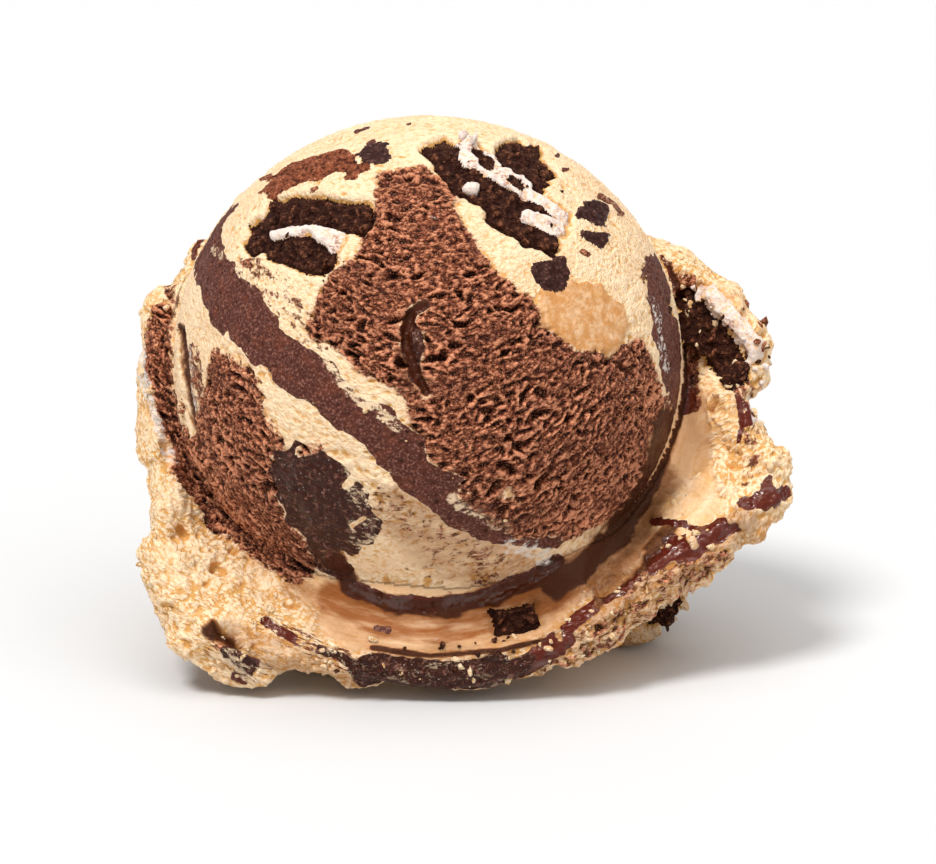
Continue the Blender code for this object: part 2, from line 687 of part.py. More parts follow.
def main():
    clear_scene()
    noise.seed_set(NOISE_SEED)
    golden = material("golden_ice_cream", (0.86, 0.62, 0.33), 0.6)
    chocolate = material("chocolate_ice_cream", (0.20, 0.085, 0.05), 0.7)
    fudge = material("fudge", (0.075, 0.03, 0.028), 0.35)
    cookie = material("cookie", (0.025, 0.014, 0.010), 0.85)
    cream = material("cookie_cream", (0.80, 0.72, 0.62), 0.6)
    toffee = material("toffee", (0.68, 0.38, 0.14), 0.4)
    chip = material("chip", (0.045, 0.02, 0.018), 0.4)

    body = scoop_body()
    tree = BVHTree.FromObject(body, bpy.context.evaluated_depsgraph_get())
    pores = porous_ball()
    smooth = plain_ball("smooth_ball", BALL_RADIUS, 4)
    cover = plain_ball("cover", BALL_RADIUS + COVER, 3)

    # Each solid gives way to those made before it, so the hardest pieces come first. The rooms
    # cross themselves at narrow spots, where only the manifold solver cuts cleanly.
    rooms = []
    nodes = []

    def add(obj, room, look):
        for other in rooms:
            if near(obj, other):
                combine(obj, other, "DIFFERENCE", "MANIFOLD")
        keep_largest(obj)
        rooms.append(room)
        finish(obj, look)
        nodes.append(obj)

    for name, row in COOKIE_WAFERS.items():
        add(*cookie_slab(name, tree, row, 0.5 * MM), cookie)
    for name, row in COOKIE_CREAMS.items():
        add(*cookie_slab(name, tree, row, 0.35 * MM), cream)
    for name, row in CHIPS.items():
        add(*rounded_piece(name, tree, row, 0.35), chip)
    for name, row in FLAKES.items():
        look = chocolate if name == "chocolate_flake" else chip
        add(*rounded_piece(name, tree, row, 0.45), look)
    for name, row in TOFFEE.items():
        add(*rounded_piece(name, tree, row, 0.18), toffee)
    for name, rows in STRANDS.items():
        add(*strand(name, rows, tree), chocolate if name == "chocolate_strip" else fudge)

    skins = (
        ("fudge_ribbon", band("ribbon_shape", RIBBON, RIBBON_DEPTH), smooth, RIBBON_DEPTH, fudge),
        ("fudge_pool", prism("pool_shape", FUDGE_POOL), smooth, POOL_DEPTH, fudge),
        ("chocolate_ice_cream_front", prism("front_shape", CHOCOLATE_FRONT), pores,
         CHOCOLATE_DEPTH, chocolate),
        ("chocolate_ice_cream_left", prism("left_shape", CHOCOLATE_LEFT), pores,
         CHOCOLATE_DEPTH, chocolate),
    )
    for name, shape, source, depth, look in skins:
        room = hollowed(grown(shape, GAP), depth + GAP)
        combine(room, cover, "INTERSECT")
        add(inlay(name, shape, source, depth), room, look)
        bpy.data.objects.remove(shape)
    bpy.data.objects.remove(pores)
    bpy.data.objects.remove(smooth)
    bpy.data.objects.remove(cover)

    add(body, grown(body, GAP), golden)
    for room in rooms:
        bpy.data.objects.remove(room)
    centre_on_origin(nodes)


main()
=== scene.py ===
"""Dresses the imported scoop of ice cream: one torn, porous skin over the solids, and a plain stage.

The skin is fused from the solids in the frame, roughened, and parted into a piece for each solid
that shows, so every piece lies where its solid does. Lengths are in metres, colours are linear.
"""

import json
import math

import bmesh
import bpy
import numpy as np
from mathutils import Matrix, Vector, noise
from mathutils.bvhtree import BVHTree

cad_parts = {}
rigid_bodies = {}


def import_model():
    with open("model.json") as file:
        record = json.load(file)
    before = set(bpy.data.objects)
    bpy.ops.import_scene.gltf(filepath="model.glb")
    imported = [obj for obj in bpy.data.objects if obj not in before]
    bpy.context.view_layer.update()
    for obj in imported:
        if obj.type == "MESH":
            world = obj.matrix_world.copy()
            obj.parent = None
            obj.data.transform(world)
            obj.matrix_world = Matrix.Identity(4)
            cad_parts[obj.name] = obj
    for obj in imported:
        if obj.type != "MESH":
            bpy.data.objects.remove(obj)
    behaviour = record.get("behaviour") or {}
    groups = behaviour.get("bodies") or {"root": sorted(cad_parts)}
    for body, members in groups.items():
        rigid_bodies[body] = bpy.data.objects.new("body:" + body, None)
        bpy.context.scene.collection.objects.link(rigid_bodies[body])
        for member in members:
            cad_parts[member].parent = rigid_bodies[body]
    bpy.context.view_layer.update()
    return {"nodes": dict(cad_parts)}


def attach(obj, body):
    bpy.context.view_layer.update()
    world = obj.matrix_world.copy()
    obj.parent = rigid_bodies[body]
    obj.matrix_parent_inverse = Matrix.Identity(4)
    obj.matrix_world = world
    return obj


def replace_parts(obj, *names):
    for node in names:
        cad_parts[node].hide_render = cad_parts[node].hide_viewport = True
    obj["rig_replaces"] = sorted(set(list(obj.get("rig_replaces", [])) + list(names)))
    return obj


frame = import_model()

bl_info = {
    "name": "Ice cream scoop",
    "version": (1, 0, 0),
    "blender": (4, 5, 0),
    "location": "View3D > Sidebar > Scoop",
    "description": "Gives the packed scoop its torn surface, its finishes and a stage",
    "category": "Object",
}

MM = 0.001
BODY = "root"
WELD = 0.01 * MM

# The finish of each solid, by the start or end of its name; the first match counts
FINISH_OF = (
    ("cream", lambda name: name.startswith("cookie") and name.endswith("cream")),
    ("cookie", lambda name: name.startswith("cookie")),
    ("golden", lambda name: name.startswith("golden")),
    ("flake", lambda name: name == "chocolate_flake"),
    ("chocolate", lambda name: name.startswith("chocolate")),
    ("pool", lambda name: name in ("fudge_pool", "fudge_streak")),
    ("fudge", lambda name: name.startswith("fudge")),
    ("toffee", lambda name: name.startswith("toffee")),
    ("chip", lambda name: True),
)
FIRM = ("cream", "cookie", "flake", "toffee", "chip")
SOFT = ("golden", "chocolate", "pool", "fudge")

# The photograph's frame and what it shows of the ball
PHOTO_WIDTH = 936
PHOTO_HEIGHT = 864
PIXELS_PER_METRE = 7700.0
AIM_RIGHT = 5.19 * MM
AIM_DOWN = 9.09 * MM
SENSOR = 36.0


def finish_of(name):
    return next(finish for finish, fits in FINISH_OF if fits(name))


def length(name, description, value):
    return bpy.props.FloatProperty(name=name, description=description, default=value, unit="LENGTH")


def angle(name, description, degrees):
    return bpy.props.FloatProperty(
        name=name, description=description, default=math.radians(degrees), subtype="ANGLE",
    )


def colour(name, description, value):
    return bpy.props.FloatVectorProperty(
        name=name, description=description, default=value, subtype="COLOR", size=3, min=0, max=1,
    )


class ScoopShape(bpy.types.PropertyGroup):
    """Sizes of the skin, and where the camera stands."""

    ball_centre: bpy.props.FloatVectorProperty(
        name="Ball centre", description="Middle of the rolled ball",
        default=(-4.29 * MM, 1.02 * MM, 38.0 * MM), subtype="XYZ", unit="LENGTH",
    )
    ball_radius: length("Ball radius", "Radius of the rolled ball, measured upwards", 31.8 * MM)
    ball_widening: bpy.props.FloatProperty(
        name="Ball widening", description="How much wider than tall the ball is", default=1.035,
    )
    dome_tilt: angle("Dome tilt", "How far the dome's axis rises above the table", 40)
    skin_step: length("Skin step", "Distance between the points of the fused skin", 0.47 * MM)
    gap_closing: length("Gap closing", "How far the solids swell to close their gaps", 0.3 * MM)
    marbling: length("Marbling", "How far the borders between the ice creams wander", 1.1 * MM)
    camera_distance: length("Camera distance", "From the camera to the middle of the ball", 0.45)
    camera_height: angle("Camera height", "How far the camera looks down", 15)


class ScoopColours(bpy.types.PropertyGroup):
    """Colours of the ice creams and of what is mixed into them."""

    golden: colour("Golden", "Lit ridges of the golden ice cream", (0.92, 0.69, 0.45))
    # The deep golden also serves as the painted shade in the golden ice cream's pits and gaps
    golden_deep: colour("Golden, deep", "Pits of the golden ice cream", (0.68, 0.35, 0.105))
    smear: colour("Smear", "Golden ice cream melted smooth in the groove", (0.80, 0.50, 0.27))
    chocolate: colour("Chocolate", "Middle tone of the chocolate ice cream", (0.190, 0.047, 0.020))
    # The light and deep chocolate tones are also painted highlight on raised ridges and painted shade in
    # pores and pits
    chocolate_light: colour("Chocolate, light", "Its torn ridges", (0.76, 0.310, 0.165))
    chocolate_deep: colour("Chocolate, deep", "Its pores", (0.018, 0.003, 0.002))
    fudge: colour("Fudge", "Cut face of the fudge ribbon", (0.082, 0.023, 0.016))
    fudge_light: colour("Fudge, light", "Frosted grain of the fudge", (0.27, 0.115, 0.080))
    fudge_wet: colour("Fudge, wet", "Melted fudge on the collar", (0.092, 0.012, 0.006))
    fudge_pool: colour("Fudge, pool", "Sticky fudge on the front", (0.034, 0.008, 0.005))
    cookie: colour("Cookie", "Dark cocoa wafer", (0.042, 0.012, 0.006))
    cookie_light: colour("Cookie, light", "Crumbs that stand out of the wafer", (0.30, 0.105, 0.052))
    cream: colour("Cream", "White filling of the cookies", (0.76, 0.64, 0.57))
    toffee: colour("Toffee", "Smooth piece of toffee", (0.55, 0.25, 0.080))
    flake: colour("Flake", "Reddish flake of chocolate", (0.23, 0.060, 0.024))
    chip: colour("Chip", "Small dark chips", (0.036, 0.011, 0.009))
    # The colour below also serves as painted highlight: glints on the sticky fudge, the raised grain of
    # the cream, and sheen on the fudge sheet and the right edge vein
    frost: colour("Frost", "Ice crystals", (0.80, 0.72, 0.64))
    # The colour below is golden ice cream stained by melted chocolate, and also painted shade in the
    # groove and on the lower collar, where less light falls
    caramel: colour("Caramel", "Golden ice cream stained by melted chocolate", (0.30, 0.095, 0.022))
    # The colour below is melted chocolate in the groove, and also painted shade in the groove, its creases
    # and the hollows
    stain_and_shade: colour("Stain", "Melted chocolate in the groove", (0.050, 0.010, 0.003))
    floor: colour("Floor", "Floor of the stage", (0.68, 0.68, 0.68))


# Arrays and noise


def read_vectors(layer, name, width=3):
    values = np.empty(len(layer) * width, dtype=np.float32)
    layer.foreach_get(name, values)
    return values.reshape(-1, width).astype(float) if width > 1 else values.astype(float)


def read_edges(mesh):
    ends = np.empty(len(mesh.edges) * 2, dtype=np.int32)
    mesh.edges.foreach_get("vertices", ends)
    return ends.reshape(-1, 2)


def write_attribute(mesh, name, values):
    kind = "FLOAT_VECTOR" if values.ndim > 1 else "FLOAT"
    layer = mesh.attributes.new(name, kind, "POINT")
    field = "vector" if values.ndim > 1 else "value"
    layer.data.foreach_set(field, values.astype(np.float32).ravel())


def smoothstep(low, high, values):
    part = np.clip((values - low) / (high - low), 0, 1)
    return part * part * (3 - 2 * part)


SEED_STEP = np.array((17.31, 5.77, 11.13))
NOISE_SEED = 3


def lumps(points, size, seed):
    """Soft noise at each point, from about -1 to 1, with lumps of the given size."""
    spots = (points / size + seed * SEED_STEP).tolist()
    return np.array([noise.noise(spot) for spot in spots])


def lump_vectors(points, size, seed):
    """Soft noise like that of lumps, in all three directions."""
    noise.seed_set(NOISE_SEED)
    spots = (points / size + seed * SEED_STEP).tolist()
    return np.array([noise.noise_vector(spot)[:] for spot in spots])


def spots_near(points, size, seed):
    """Distance from each point to the nearest of many scattered spots, in their spacings."""
    spots = (points / size + seed * SEED_STEP).tolist()
    return np.array([noise.voronoi(spot)[0][0] for spot in spots])


def spread(values, edges, rounds):
    """Evens values out between neighbouring points."""
    count = len(values)
    near = np.bincount(edges.ravel(), minlength=count) + 1.0
    for _ in range(rounds):
        total = values + np.bincount(edges[:, 0], weights=values[edges[:, 1]], minlength=count)
        total += np.bincount(edges[:, 1], weights=values[edges[:, 0]], minlength=count)
        values = total / near
    return values


# The skin


def joined_solids(swell):
    """All solids as one bmesh, each one swollen a little."""
    whole = bmesh.new()
    for node in frame["nodes"].values():
        solid = bmesh.new()
        solid.from_mesh(node.data)
        bmesh.ops.remove_doubles(solid, verts=solid.verts, dist=WELD)
        solid.normal_update()
        for vert in solid.verts:
            vert.co += vert.normal * swell
        piece = bpy.data.meshes.new("solid")
        solid.to_mesh(piece)
        solid.free()
        whole.from_mesh(piece)
        bpy.data.meshes.remove(piece)
    return whole


def object_from(name, bm):
    mesh = bpy.data.meshes.new(name)
    bm.to_mesh(mesh)
    bm.free()
    obj = bpy.data.objects.new(name, mesh)
    bpy.context.scene.collection.objects.link(obj)
    return obj


def apply_modifiers(obj):
    """Puts what the modifiers make into the object's own mesh."""
    bpy.context.view_layer.update()
    graph = bpy.context.evaluated_depsgraph_get()
    made = bpy.data.meshes.new_from_object(obj.evaluated_get(graph))
    obj.modifiers.clear()
    old = obj.data
    obj.data = made
    bpy.data.meshes.remove(old)


def keep_outer_skin(obj):
    """Drops the closed hollows that the fused gaps leave inside."""
    bm = bmesh.new()
    bm.from_mesh(obj.data)
    unseen = set(bm.verts)
    skins = []
    while unseen:
        front = [unseen.pop()]
        skin = list(front)
        while front:
            for edge in front.pop().link_edges:
                for vert in edge.verts:
                    if vert in unseen:
                        unseen.remove(vert)
                        skin.append(vert)
                        front.append(vert)
        skins.append(skin)
    skins.sort(key=len)
    inner = [vert for skin in skins[:-1] for vert in skin]
    bmesh.ops.delete(bm, geom=inner, context="VERTS")
    bm.to_mesh(obj.data)
    bm.free()


def dome_axes(shape):
    """The dome's axis, and the direction across it that climbs most."""
    forward = np.array((0, -math.cos(shape.dome_tilt), math.sin(shape.dome_tilt)))
    upward = np.array((0, math.sin(shape.dome_tilt), math.cos(shape.dome_tilt)))
    return forward, upward


def from_ball(points, shape):
    """The points seen from the ball's centre, with its widening taken out."""
    return (points - np.array(shape.ball_centre)) / np.array((shape.ball_widening, 1, 1))


def dome_places(points, shape):
    """Depth along the dome's axis, distance from it, and the angle round it, from the right."""
    out = from_ball(points, shape)
    forward, upward = dome_axes(shape)
    depth = out @ forward
    across = np.linalg.norm(out - depth[:, None] * forward, axis=1)
    return depth, across, np.arctan2(out @ upward, out[:, 0])


# How near to the ball a point is drawn onto it, and where along the dome's axis that starts
NEAR_BALL = (0.35 * MM, 0.9 * MM)
BALL_FRONT = (-5.0 * MM, -3.0 * MM)


def onto_ball(points, shape):
    """Draws the points that lie close to the ball exactly onto it."""
    out = from_ball(points, shape)
    forward, _ = dome_axes(shape)
    reach = np.linalg.norm(out, axis=1)
    near = 1 - smoothstep(*NEAR_BALL, np.abs(reach - shape.ball_radius))
    near *= smoothstep(*BALL_FRONT, out @ forward)
    scale = 1 + near * (shape.ball_radius / reach - 1)
    on_ball = out * scale[:, None] * np.array((shape.ball_widening, 1, 1))
    return np.array(shape.ball_centre) + on_ball


def fused_skin(shape):
    """One even skin over all the solids, smooth where the ball is."""
    skin = object_from("skin", joined_solids(shape.gap_closing))
    fuse = skin.modifiers.new("Fuse", "REMESH")
    fuse.mode = "VOXEL"
    fuse.voxel_size = shape.skin_step * 1
    apply_modifiers(skin)
    keep_outer_skin(skin)
    soften = skin.modifiers.new("Soften", "SMOOTH")
    soften.factor = 0.5
    soften.iterations = 4
    apply_modifiers(skin)
    mesh = skin.data
    points = read_vectors(mesh.vertices, "co")
    normals = read_vectors(mesh.vertices, "normal")
    points = onto_ball(points - normals * shape.gap_closing, shape)
    mesh.vertices.foreach_set("co", points.ravel())
    finer = skin.modifiers.new("Finer", "SUBSURF")
    finer.levels = finer.render_levels = 1
    apply_modifiers(skin)
    return skin


# Which solid each point belongs to

ROLL = 15.0
STREAK = 2.2


def rolled(points, shape, streak):
    """Places measured along the layers of the rolled ball, which sag towards its middle."""
    out = from_ball(points, shape)
    sag = ROLL * out[:, 0] ** 2
    return np.column_stack((out[:, 0] / streak, out[:, 1], out[:, 2] - sag))


# Behind this depth along the dome's axis, patterns no longer run round the collar
BACK_DEPTH = -13 * MM
RING_SHARE = 1.3
LIP_LEAN = 0.6


def flow_places(points, dome, unseen, shape):
    """Places for patterns: the middle number runs across the ball's layers or round the collar."""
    layers = rolled(points, shape, 1.5)[:, (0, 2, 1)]
    depth, across, turn = dome_places(points, shape)
    reach = shape.ball_radius / RING_SHARE
    ring = np.column_stack((reach * np.cos(turn), across - LIP_LEAN * depth, reach * np.sin(turn)))
    plain = (depth < BACK_DEPTH) | (unseen > 0.5)
    outside = np.where(plain[:, None], points[:, (0, 2, 1)], ring)
    return np.where(dome[:, None] > 0.5, layers, outside)


def solids_tree():
    """A search tree over every solid's triangles, and which solid each triangle is from."""
    corners = []
    owners = []
    for index, node in enumerate(frame["nodes"].values()):
        points = read_vectors(node.data.vertices, "co")
        node.data.calc_loop_triangles()
        for triangle in node.data.loop_triangles:
            corners.extend(points[list(triangle.vertices)].tolist())
            owners.append(index)
    faces = [(at, at + 1, at + 2) for at in range(0, len(corners), 3)]
    return BVHTree.FromPolygons(corners, faces, all_triangles=True), owners


def nearest_solids(tree, owners, points):
    return np.array([owners[tree.find_nearest(point)[2]] for point in points.tolist()])


def solid_at(points, shape):
    """Which solid each point of the skin belongs to, with borders that wander in the ice cream."""
    finishes = [finish_of(name) for name in frame["nodes"]]
    firm = np.array([finish in FIRM for finish in finishes])
    tree, owners = solids_tree()
    layers = rolled(points, shape, STREAK)
    wander = lump_vectors(layers, 3.2 * MM, 1) + 0.45 * lump_vectors(layers, 1.1 * MM, 2)
    close = nearest_solids(tree, owners, points + wander * (0.5 * MM))
    far = nearest_solids(tree, owners, points + wander * shape.marbling)
    return np.where(firm[close] | firm[far], close, far)


# What the photograph shows painted on the skin or grown into it

# Paths are pixels of the photograph, from the front; widths are half widths in pixels
GROWN = (
    ("golden_ice_cream", 8, ((463, 208), (478, 236), (500, 261), (524, 284))),
    ("chocolate_strip", 12, ((160, 316), (159, 350), (163, 390), (172, 425), (184, 450))),
    ("chocolate_ice_cream_left", 17, ((188, 452), (203, 486), (232, 520), (268, 548), (300, 566))),
    ("chocolate_ice_cream_left", 10, ((178, 466), (192, 484))),
    ("chocolate_ice_cream_front", 14, ((470, 492), (520, 524), (572, 522), (612, 500), (636, 470))),
    ("fudge_pool", 13, ((300, 474), (322, 470), (348, 496), (345, 545), (330, 560))),
    ("chocolate_ice_cream_left", 8, ((262, 470), (270, 500), (282, 524), (300, 540))),
    ("chocolate_ice_cream_left", 5, ((300, 452), (322, 446))),
    ("fudge_arc", 7, ((332, 556), (348, 584), (385, 600), (430, 607), (480, 600), (528, 580), (556, 562))),
    ("fudge_sheet", 14, ((657, 268), (663, 300), (669, 340), (676, 378), (684, 402))),
    ("fudge_vein_edge", 3, ((738, 396), (742, 420), (738, 446))),
    ("fudge_horn", 7, ((746, 506), (768, 498), (784, 492))),
    ("fudge_vein_right", 4, ((652, 521), (684, 524), (712, 537), (735, 528))),
    ("fudge_vein_right", 7, ((668, 542), (700, 541))),
    ("fudge_vein_right", 4, ((690, 552), (652, 560), (625, 588), (583, 616), (545, 642), (514, 674))),
    ("fudge_vein_right", 7, ((604, 598), (583, 616), (560, 632))),
    ("fudge_vein_base", 5, ((266, 622), (300, 642), (335, 654), (362, 668))),
    ("fudge_vein_base", 19, ((370, 672), (410, 678), (455, 680), (495, 672))),
    ("fudge_vein_left", 9, ((228, 655), (248, 664), (240, 676))),
    ("cookie_right_wafer", 17, ((688, 306), (712, 340), (736, 374))),
    ("fudge_ribbon", 9, ((224, 208), (208, 230))),
    ("fudge_ribbon", 15, ((207, 246), (209, 260))),
    ("fudge_ribbon", 20, ((215, 272), (236, 300), (262, 328))),
    ("toffee_piece", 28, ((566, 308), (598, 322))),
    ("chip_middle", 14, ((546, 275), (553, 278))),
    ("chip_upper", 7, ((584, 213), (600, 219))),
    ("chip_lower", 5, ((585, 234), (602, 243))),
    ("golden_ice_cream", 3, ((574, 224), (590, 227), (610, 231))),
    ("chocolate_flake", 9, ((276, 184), (300, 172), (328, 166), (344, 162))),
    ("chocolate_flake", 5, ((352, 174), (366, 166))),
    ("dark_flake", 6, ((368, 158), (386, 158))),
    ("cookie_left_upper_wafer", 10, ((262, 226), (296, 212), (340, 212), (366, 221))),
    ("cookie_left_upper_wafer", 8, ((255, 230), (252, 246))),
    ("cookie_left_lower_wafer", 11, ((272, 247), (300, 256), (318, 264))),
    ("cookie_left_cream", 4, ((272, 234), (300, 230))),
    ("cookie_left_cream", 8, ((318, 233), (334, 242))),
    ("cookie_top_left_wafer", 14, ((446, 156), (462, 172), (476, 186), (500, 194))),
    ("cookie_top_right_wafer", 13, ((510, 154), (532, 158), (538, 178))),
    ("cookie_top_cream", 8, ((468, 154), (500, 172), (530, 190))),
    ("cookie_top_low_wafer", 12, ((498, 214), (530, 232), (552, 243))),
    ("cookie_top_low_cream", 7, ((528, 213), (562, 230))),
    ("cookie_right_cream", 10, ((704, 292), (728, 312), (746, 338), (757, 354))),
    ("fudge_streak", 5, ((424, 304), (410, 314), (404, 330), (407, 352), (414, 372), (426, 392))),
    ("golden_ice_cream", 4, ((640, 560), (646, 580))),
    ("golden_ice_cream", 4, ((596, 590), (600, 606))),
    ("golden_ice_cream", 3, ((556, 626), (560, 640))),
    ("golden_ice_cream", 4, ((690, 534), (694, 546))),
    ("golden_ice_cream", 4, ((300, 640), (312, 648))),
    ("golden_ice_cream", 4, ((356, 474), (346, 486))),
    ("golden_ice_cream", 3, ((364, 518), (352, 526))),
    ("golden_ice_cream", 3, ((350, 560), (342, 552))),
    ("cookie_top_left_wafer", 5, ((478, 150), (490, 166))),
    ("cookie_top_right_wafer", 4, ((512, 178), (522, 186))),
    ("cookie_left_lower_wafer", 4, ((306, 236), (314, 244))),
)

# What stains the ice cream without being a piece, with the painted shade of the brown and warm dark
# strokes: how strongly, how wide, and where
STAINS_AND_SHADE = {
    "cocoa": (
        (0.38, 17, ((250, 268), (282, 300), (318, 338))),
        (0.3, 12, ((300, 260), (330, 300))),
        (0.4, 20, ((384, 500), (440, 544), (500, 572))),
        (0.3, 10, ((400, 560), (450, 585))),
        (0.6, 9, ((250, 262), (262, 272))),
        (0.75, 15, ((655, 272), (680, 282), (690, 300))),
        (0.6, 7, ((168, 285), (176, 300))),
        (0.4, 9, ((600, 600), (640, 585), (660, 570))),
        (0.8, 3, ((600, 196), (612, 202), (622, 214))),
        (0.85, 2, ((228, 204), (238, 196))),
        (0.8, 2, ((346, 178), (354, 176))),
        (0.8, 2, ((310, 190), (317, 188))),
        (0.8, 2, ((262, 180), (270, 175))),
        (0.85, 3, ((582, 251), (588, 254))),
        (0.8, 11, ((672, 276), (684, 310), (688, 350), (690, 400))),
        (0.75, 6, ((664, 400), (672, 430))),
        (0.45, 9, ((744, 380), (752, 430), (748, 480))),
        (0.46, 10, ((700, 560), (640, 600), (580, 640))),
        (0.45, 8, ((212, 640), (250, 665))),
        (0.5, 14, ((540, 672), (600, 640), (660, 600), (720, 560))),
        (0.3, 12, ((420, 530), (470, 560), (510, 572))),
        (0.62, 8, ((191, 350), (197, 400), (206, 440))),
    ),
    "fudge": (
        (0.85, 2, ((356, 132), (368, 128))),
        (0.85, 2, ((407, 124), (410, 124))),
        (0.8, 2, ((368, 144), (374, 142))),
        (0.85, 2, ((564, 169), (568, 169))),
        (0.8, 2, ((556, 156), (558, 156))),
        (0.85, 4, ((376, 628), (388, 630))),
        (0.7, 2, ((474, 602), (482, 604))),
        (0.45, 12, ((440, 478), (490, 512), (540, 532))),
    ),
    # Dark brown strokes: melted chocolate, and painted shade along the groove between ball and collar, in
    # the creases beside the left strip and the right edge, in the crevice, and in the hollow at the lower
    # left
    "brown": (
        (0.95, 10, ((336, 562), (352, 588), (388, 604), (430, 610), (480, 602), (528, 582), (556, 566))),
        (1.0, 15, ((556, 586), (592, 560), (622, 530))),
        (0.45, 26, ((548, 592), (596, 566), (632, 526), (652, 480))),
        (1.0, 14, ((618, 530), (646, 490), (658, 455), (664, 420))),
        (0.7, 8, ((600, 600), (640, 566), (668, 530))),
        (1.0, 5, ((424, 304), (410, 314), (405, 330), (408, 352), (414, 372), (426, 392))),
        (0.6, 6, ((398, 352), (404, 376), (416, 394))),
        (0.9, 4, ((670, 268), (679, 292), (684, 340), (684, 392), (677, 427), (662, 467))),
        (0.9, 3, ((372, 648), (430, 656), (500, 650), (545, 640))),
        (1.0, 4, ((180, 326), (184, 370), (190, 412), (200, 446))),
        (0.9, 9, ((212, 632), (230, 640))),
    ),
    "porous": (
        (0.8, 26, ((372, 492), (430, 540), (500, 568))),
        (0.8, 12, ((372, 430), (398, 462))),
    ),
    # Warm dark strokes: stains on the ball's streaky front, and painted shade along the groove and on the
    # lower collar
    "caramel": (
        (1.0, 20, ((334, 598), (380, 620), (440, 628), (500, 614), (556, 590))),
        (0.5, 30, ((338, 610), (380, 632), (440, 642), (500, 630), (556, 606))),
        (0.6, 12, ((290, 585), (330, 604))),
        (0.45, 14, ((600, 590), (640, 566), (668, 540))),
        (0.6, 16, ((560, 640), (620, 600), (700, 552), (744, 520))),
        (0.4, 26, ((560, 670), (640, 630), (700, 590), (756, 540))),
        (0.55, 30, ((400, 510), (450, 550), (510, 572))),
        (0.5, 18, ((230, 640), (300, 660), (360, 676))),
    ),
    "grit": (
        (1.0, 24, ((330, 664), (400, 672), (460, 674), (510, 664))),
        (0.8, 10, ((215, 645), (250, 668))),
    ),
    "crag": (
        (0.8, 16, ((560, 660), (620, 615), (690, 570), (750, 520))),
        (0.6, 26, ((640, 640), (700, 590), (750, 550))),
        (0.6, 12, ((700, 380), (730, 440), (720, 480))),
    ),
    "dry": (
        (1.0, 13, ((548, 646), (584, 614), (618, 586), (650, 566), (690, 548))),
        (1.0, 10, ((716, 400), (722, 440), (726, 490))),
    ),
    "speckle": (
        (0.6, 12, ((350, 470), (362, 500), (362, 540))),
        (1.0, 7, ((330, 366), (352, 392), (380, 414), (398, 428))),
        (0.9, 7, ((452, 500), (480, 514), (506, 528))),
        (0.6, 5, ((205, 330), (226, 356), (262, 396), (290, 420))),
        (0.6, 5, ((214, 250), (232, 262), (250, 280))),
        (0.35, 16, ((290, 636), (340, 660), (420, 676), (500, 672))),
        (0.15, 12, ((500, 666), (560, 636), (620, 596))),
        (0.8, 12, ((222, 660), (262, 680))),
        (0.5, 12, ((360, 470), (384, 500), (380, 540))),
    ),
    "threads": (
        (0.4, 12, ((262, 622), (320, 650), (360, 668))),
        (0.35, 14, ((215, 650), (262, 672))),
    ),
    "wet": (
        (1.0, 9, ((560, 518), (590, 520), (612, 512))),
        (0.45, 8, ((284, 470), (300, 500), (310, 530))),
    ),
    "smear": (
        (0.9, 26, ((345, 622), (400, 636), (460, 636), (520, 618), (560, 592))),
        (0.8, 26, ((682, 424), (690, 460), (700, 500), (668, 530), (630, 560))),
        (0.8, 7, ((652, 560), (600, 600), (556, 626))),
    ),
    "smooth": (
        (1.0, 15, ((136, 430), (138, 468), (152, 500), (158, 528))),
        (1.0, 20, ((632, 214), (648, 244), (656, 262))),
    ),
    "frost": (
        (0.62, 5, ((142, 350), (146, 384), (153, 414), (163, 442), (174, 462))),
        (0.5, 11, ((514, 546), (532, 550), (542, 556))),
        # The next two strokes are ice crystals and painted highlight on the glossy fudge sheet and edge
        # vein
        (0.42, 4, ((654, 300), (660, 340), (668, 370))),
        (0.6, 4, ((752, 400), (756, 420))),
        (0.4, 4, ((186, 340), (190, 380), (196, 410))),
    ),
}

# Hollows torn into the skin: depth, half width, and where
HOLLOWS = (
    (2.6 * MM, 9, ((222, 634), (236, 642))),
    (0.9 * MM, 4, ((180, 330), (184, 370), (189, 410), (198, 442))),
    (0.7 * MM, 5, ((410, 314), (405, 340), (414, 366), (426, 390))),
    (1.2 * MM, 6, ((216, 566), (222, 570))),
    (1.0 * MM, 4, ((182, 528), (186, 534))),
    (1.4 * MM, 5, ((266, 486), (274, 488))),
    (1.2 * MM, 5, ((502, 466), (512, 470))),
    (1.0 * MM, 6, ((640, 560), (600, 592))),
)

# What the camera sees: the cells in which depths are compared, in pixels, how far behind the
# nearest point a point may lie, and how squarely it has to face the camera
SEEN_CELL = 3.0
SEEN_DEPTH = 2.5 * MM
SEEN_FACING = 0.15

# How far the edges of strokes stray, in pixels, and the half width from which they stray fully;
# then where a stroke starts to fade and where it ends, in half widths
RAGGED_WIDE = 5.0
RAGGED_FINE = 1.8
RAGGED_FROM = 10
STAIN_EDGE = (0.6, 1.3)
HOLLOW_EDGE = (0.3, 1.5)


def camera_axes(shape):
    """From the scoop towards the camera, and the photograph's upward direction."""
    towards = Vector((0, -math.cos(shape.camera_height), math.sin(shape.camera_height)))
    upward = Vector((0, math.sin(shape.camera_height), math.cos(shape.camera_height)))
    return towards, upward


def camera_places(shape):
    """Where the camera stands, and the point that it looks at."""
    towards, upward = camera_axes(shape)
    target = Vector(shape.ball_centre) + Vector((AIM_RIGHT, 0, 0)) - upward * AIM_DOWN
    return target + towards * shape.camera_distance, target


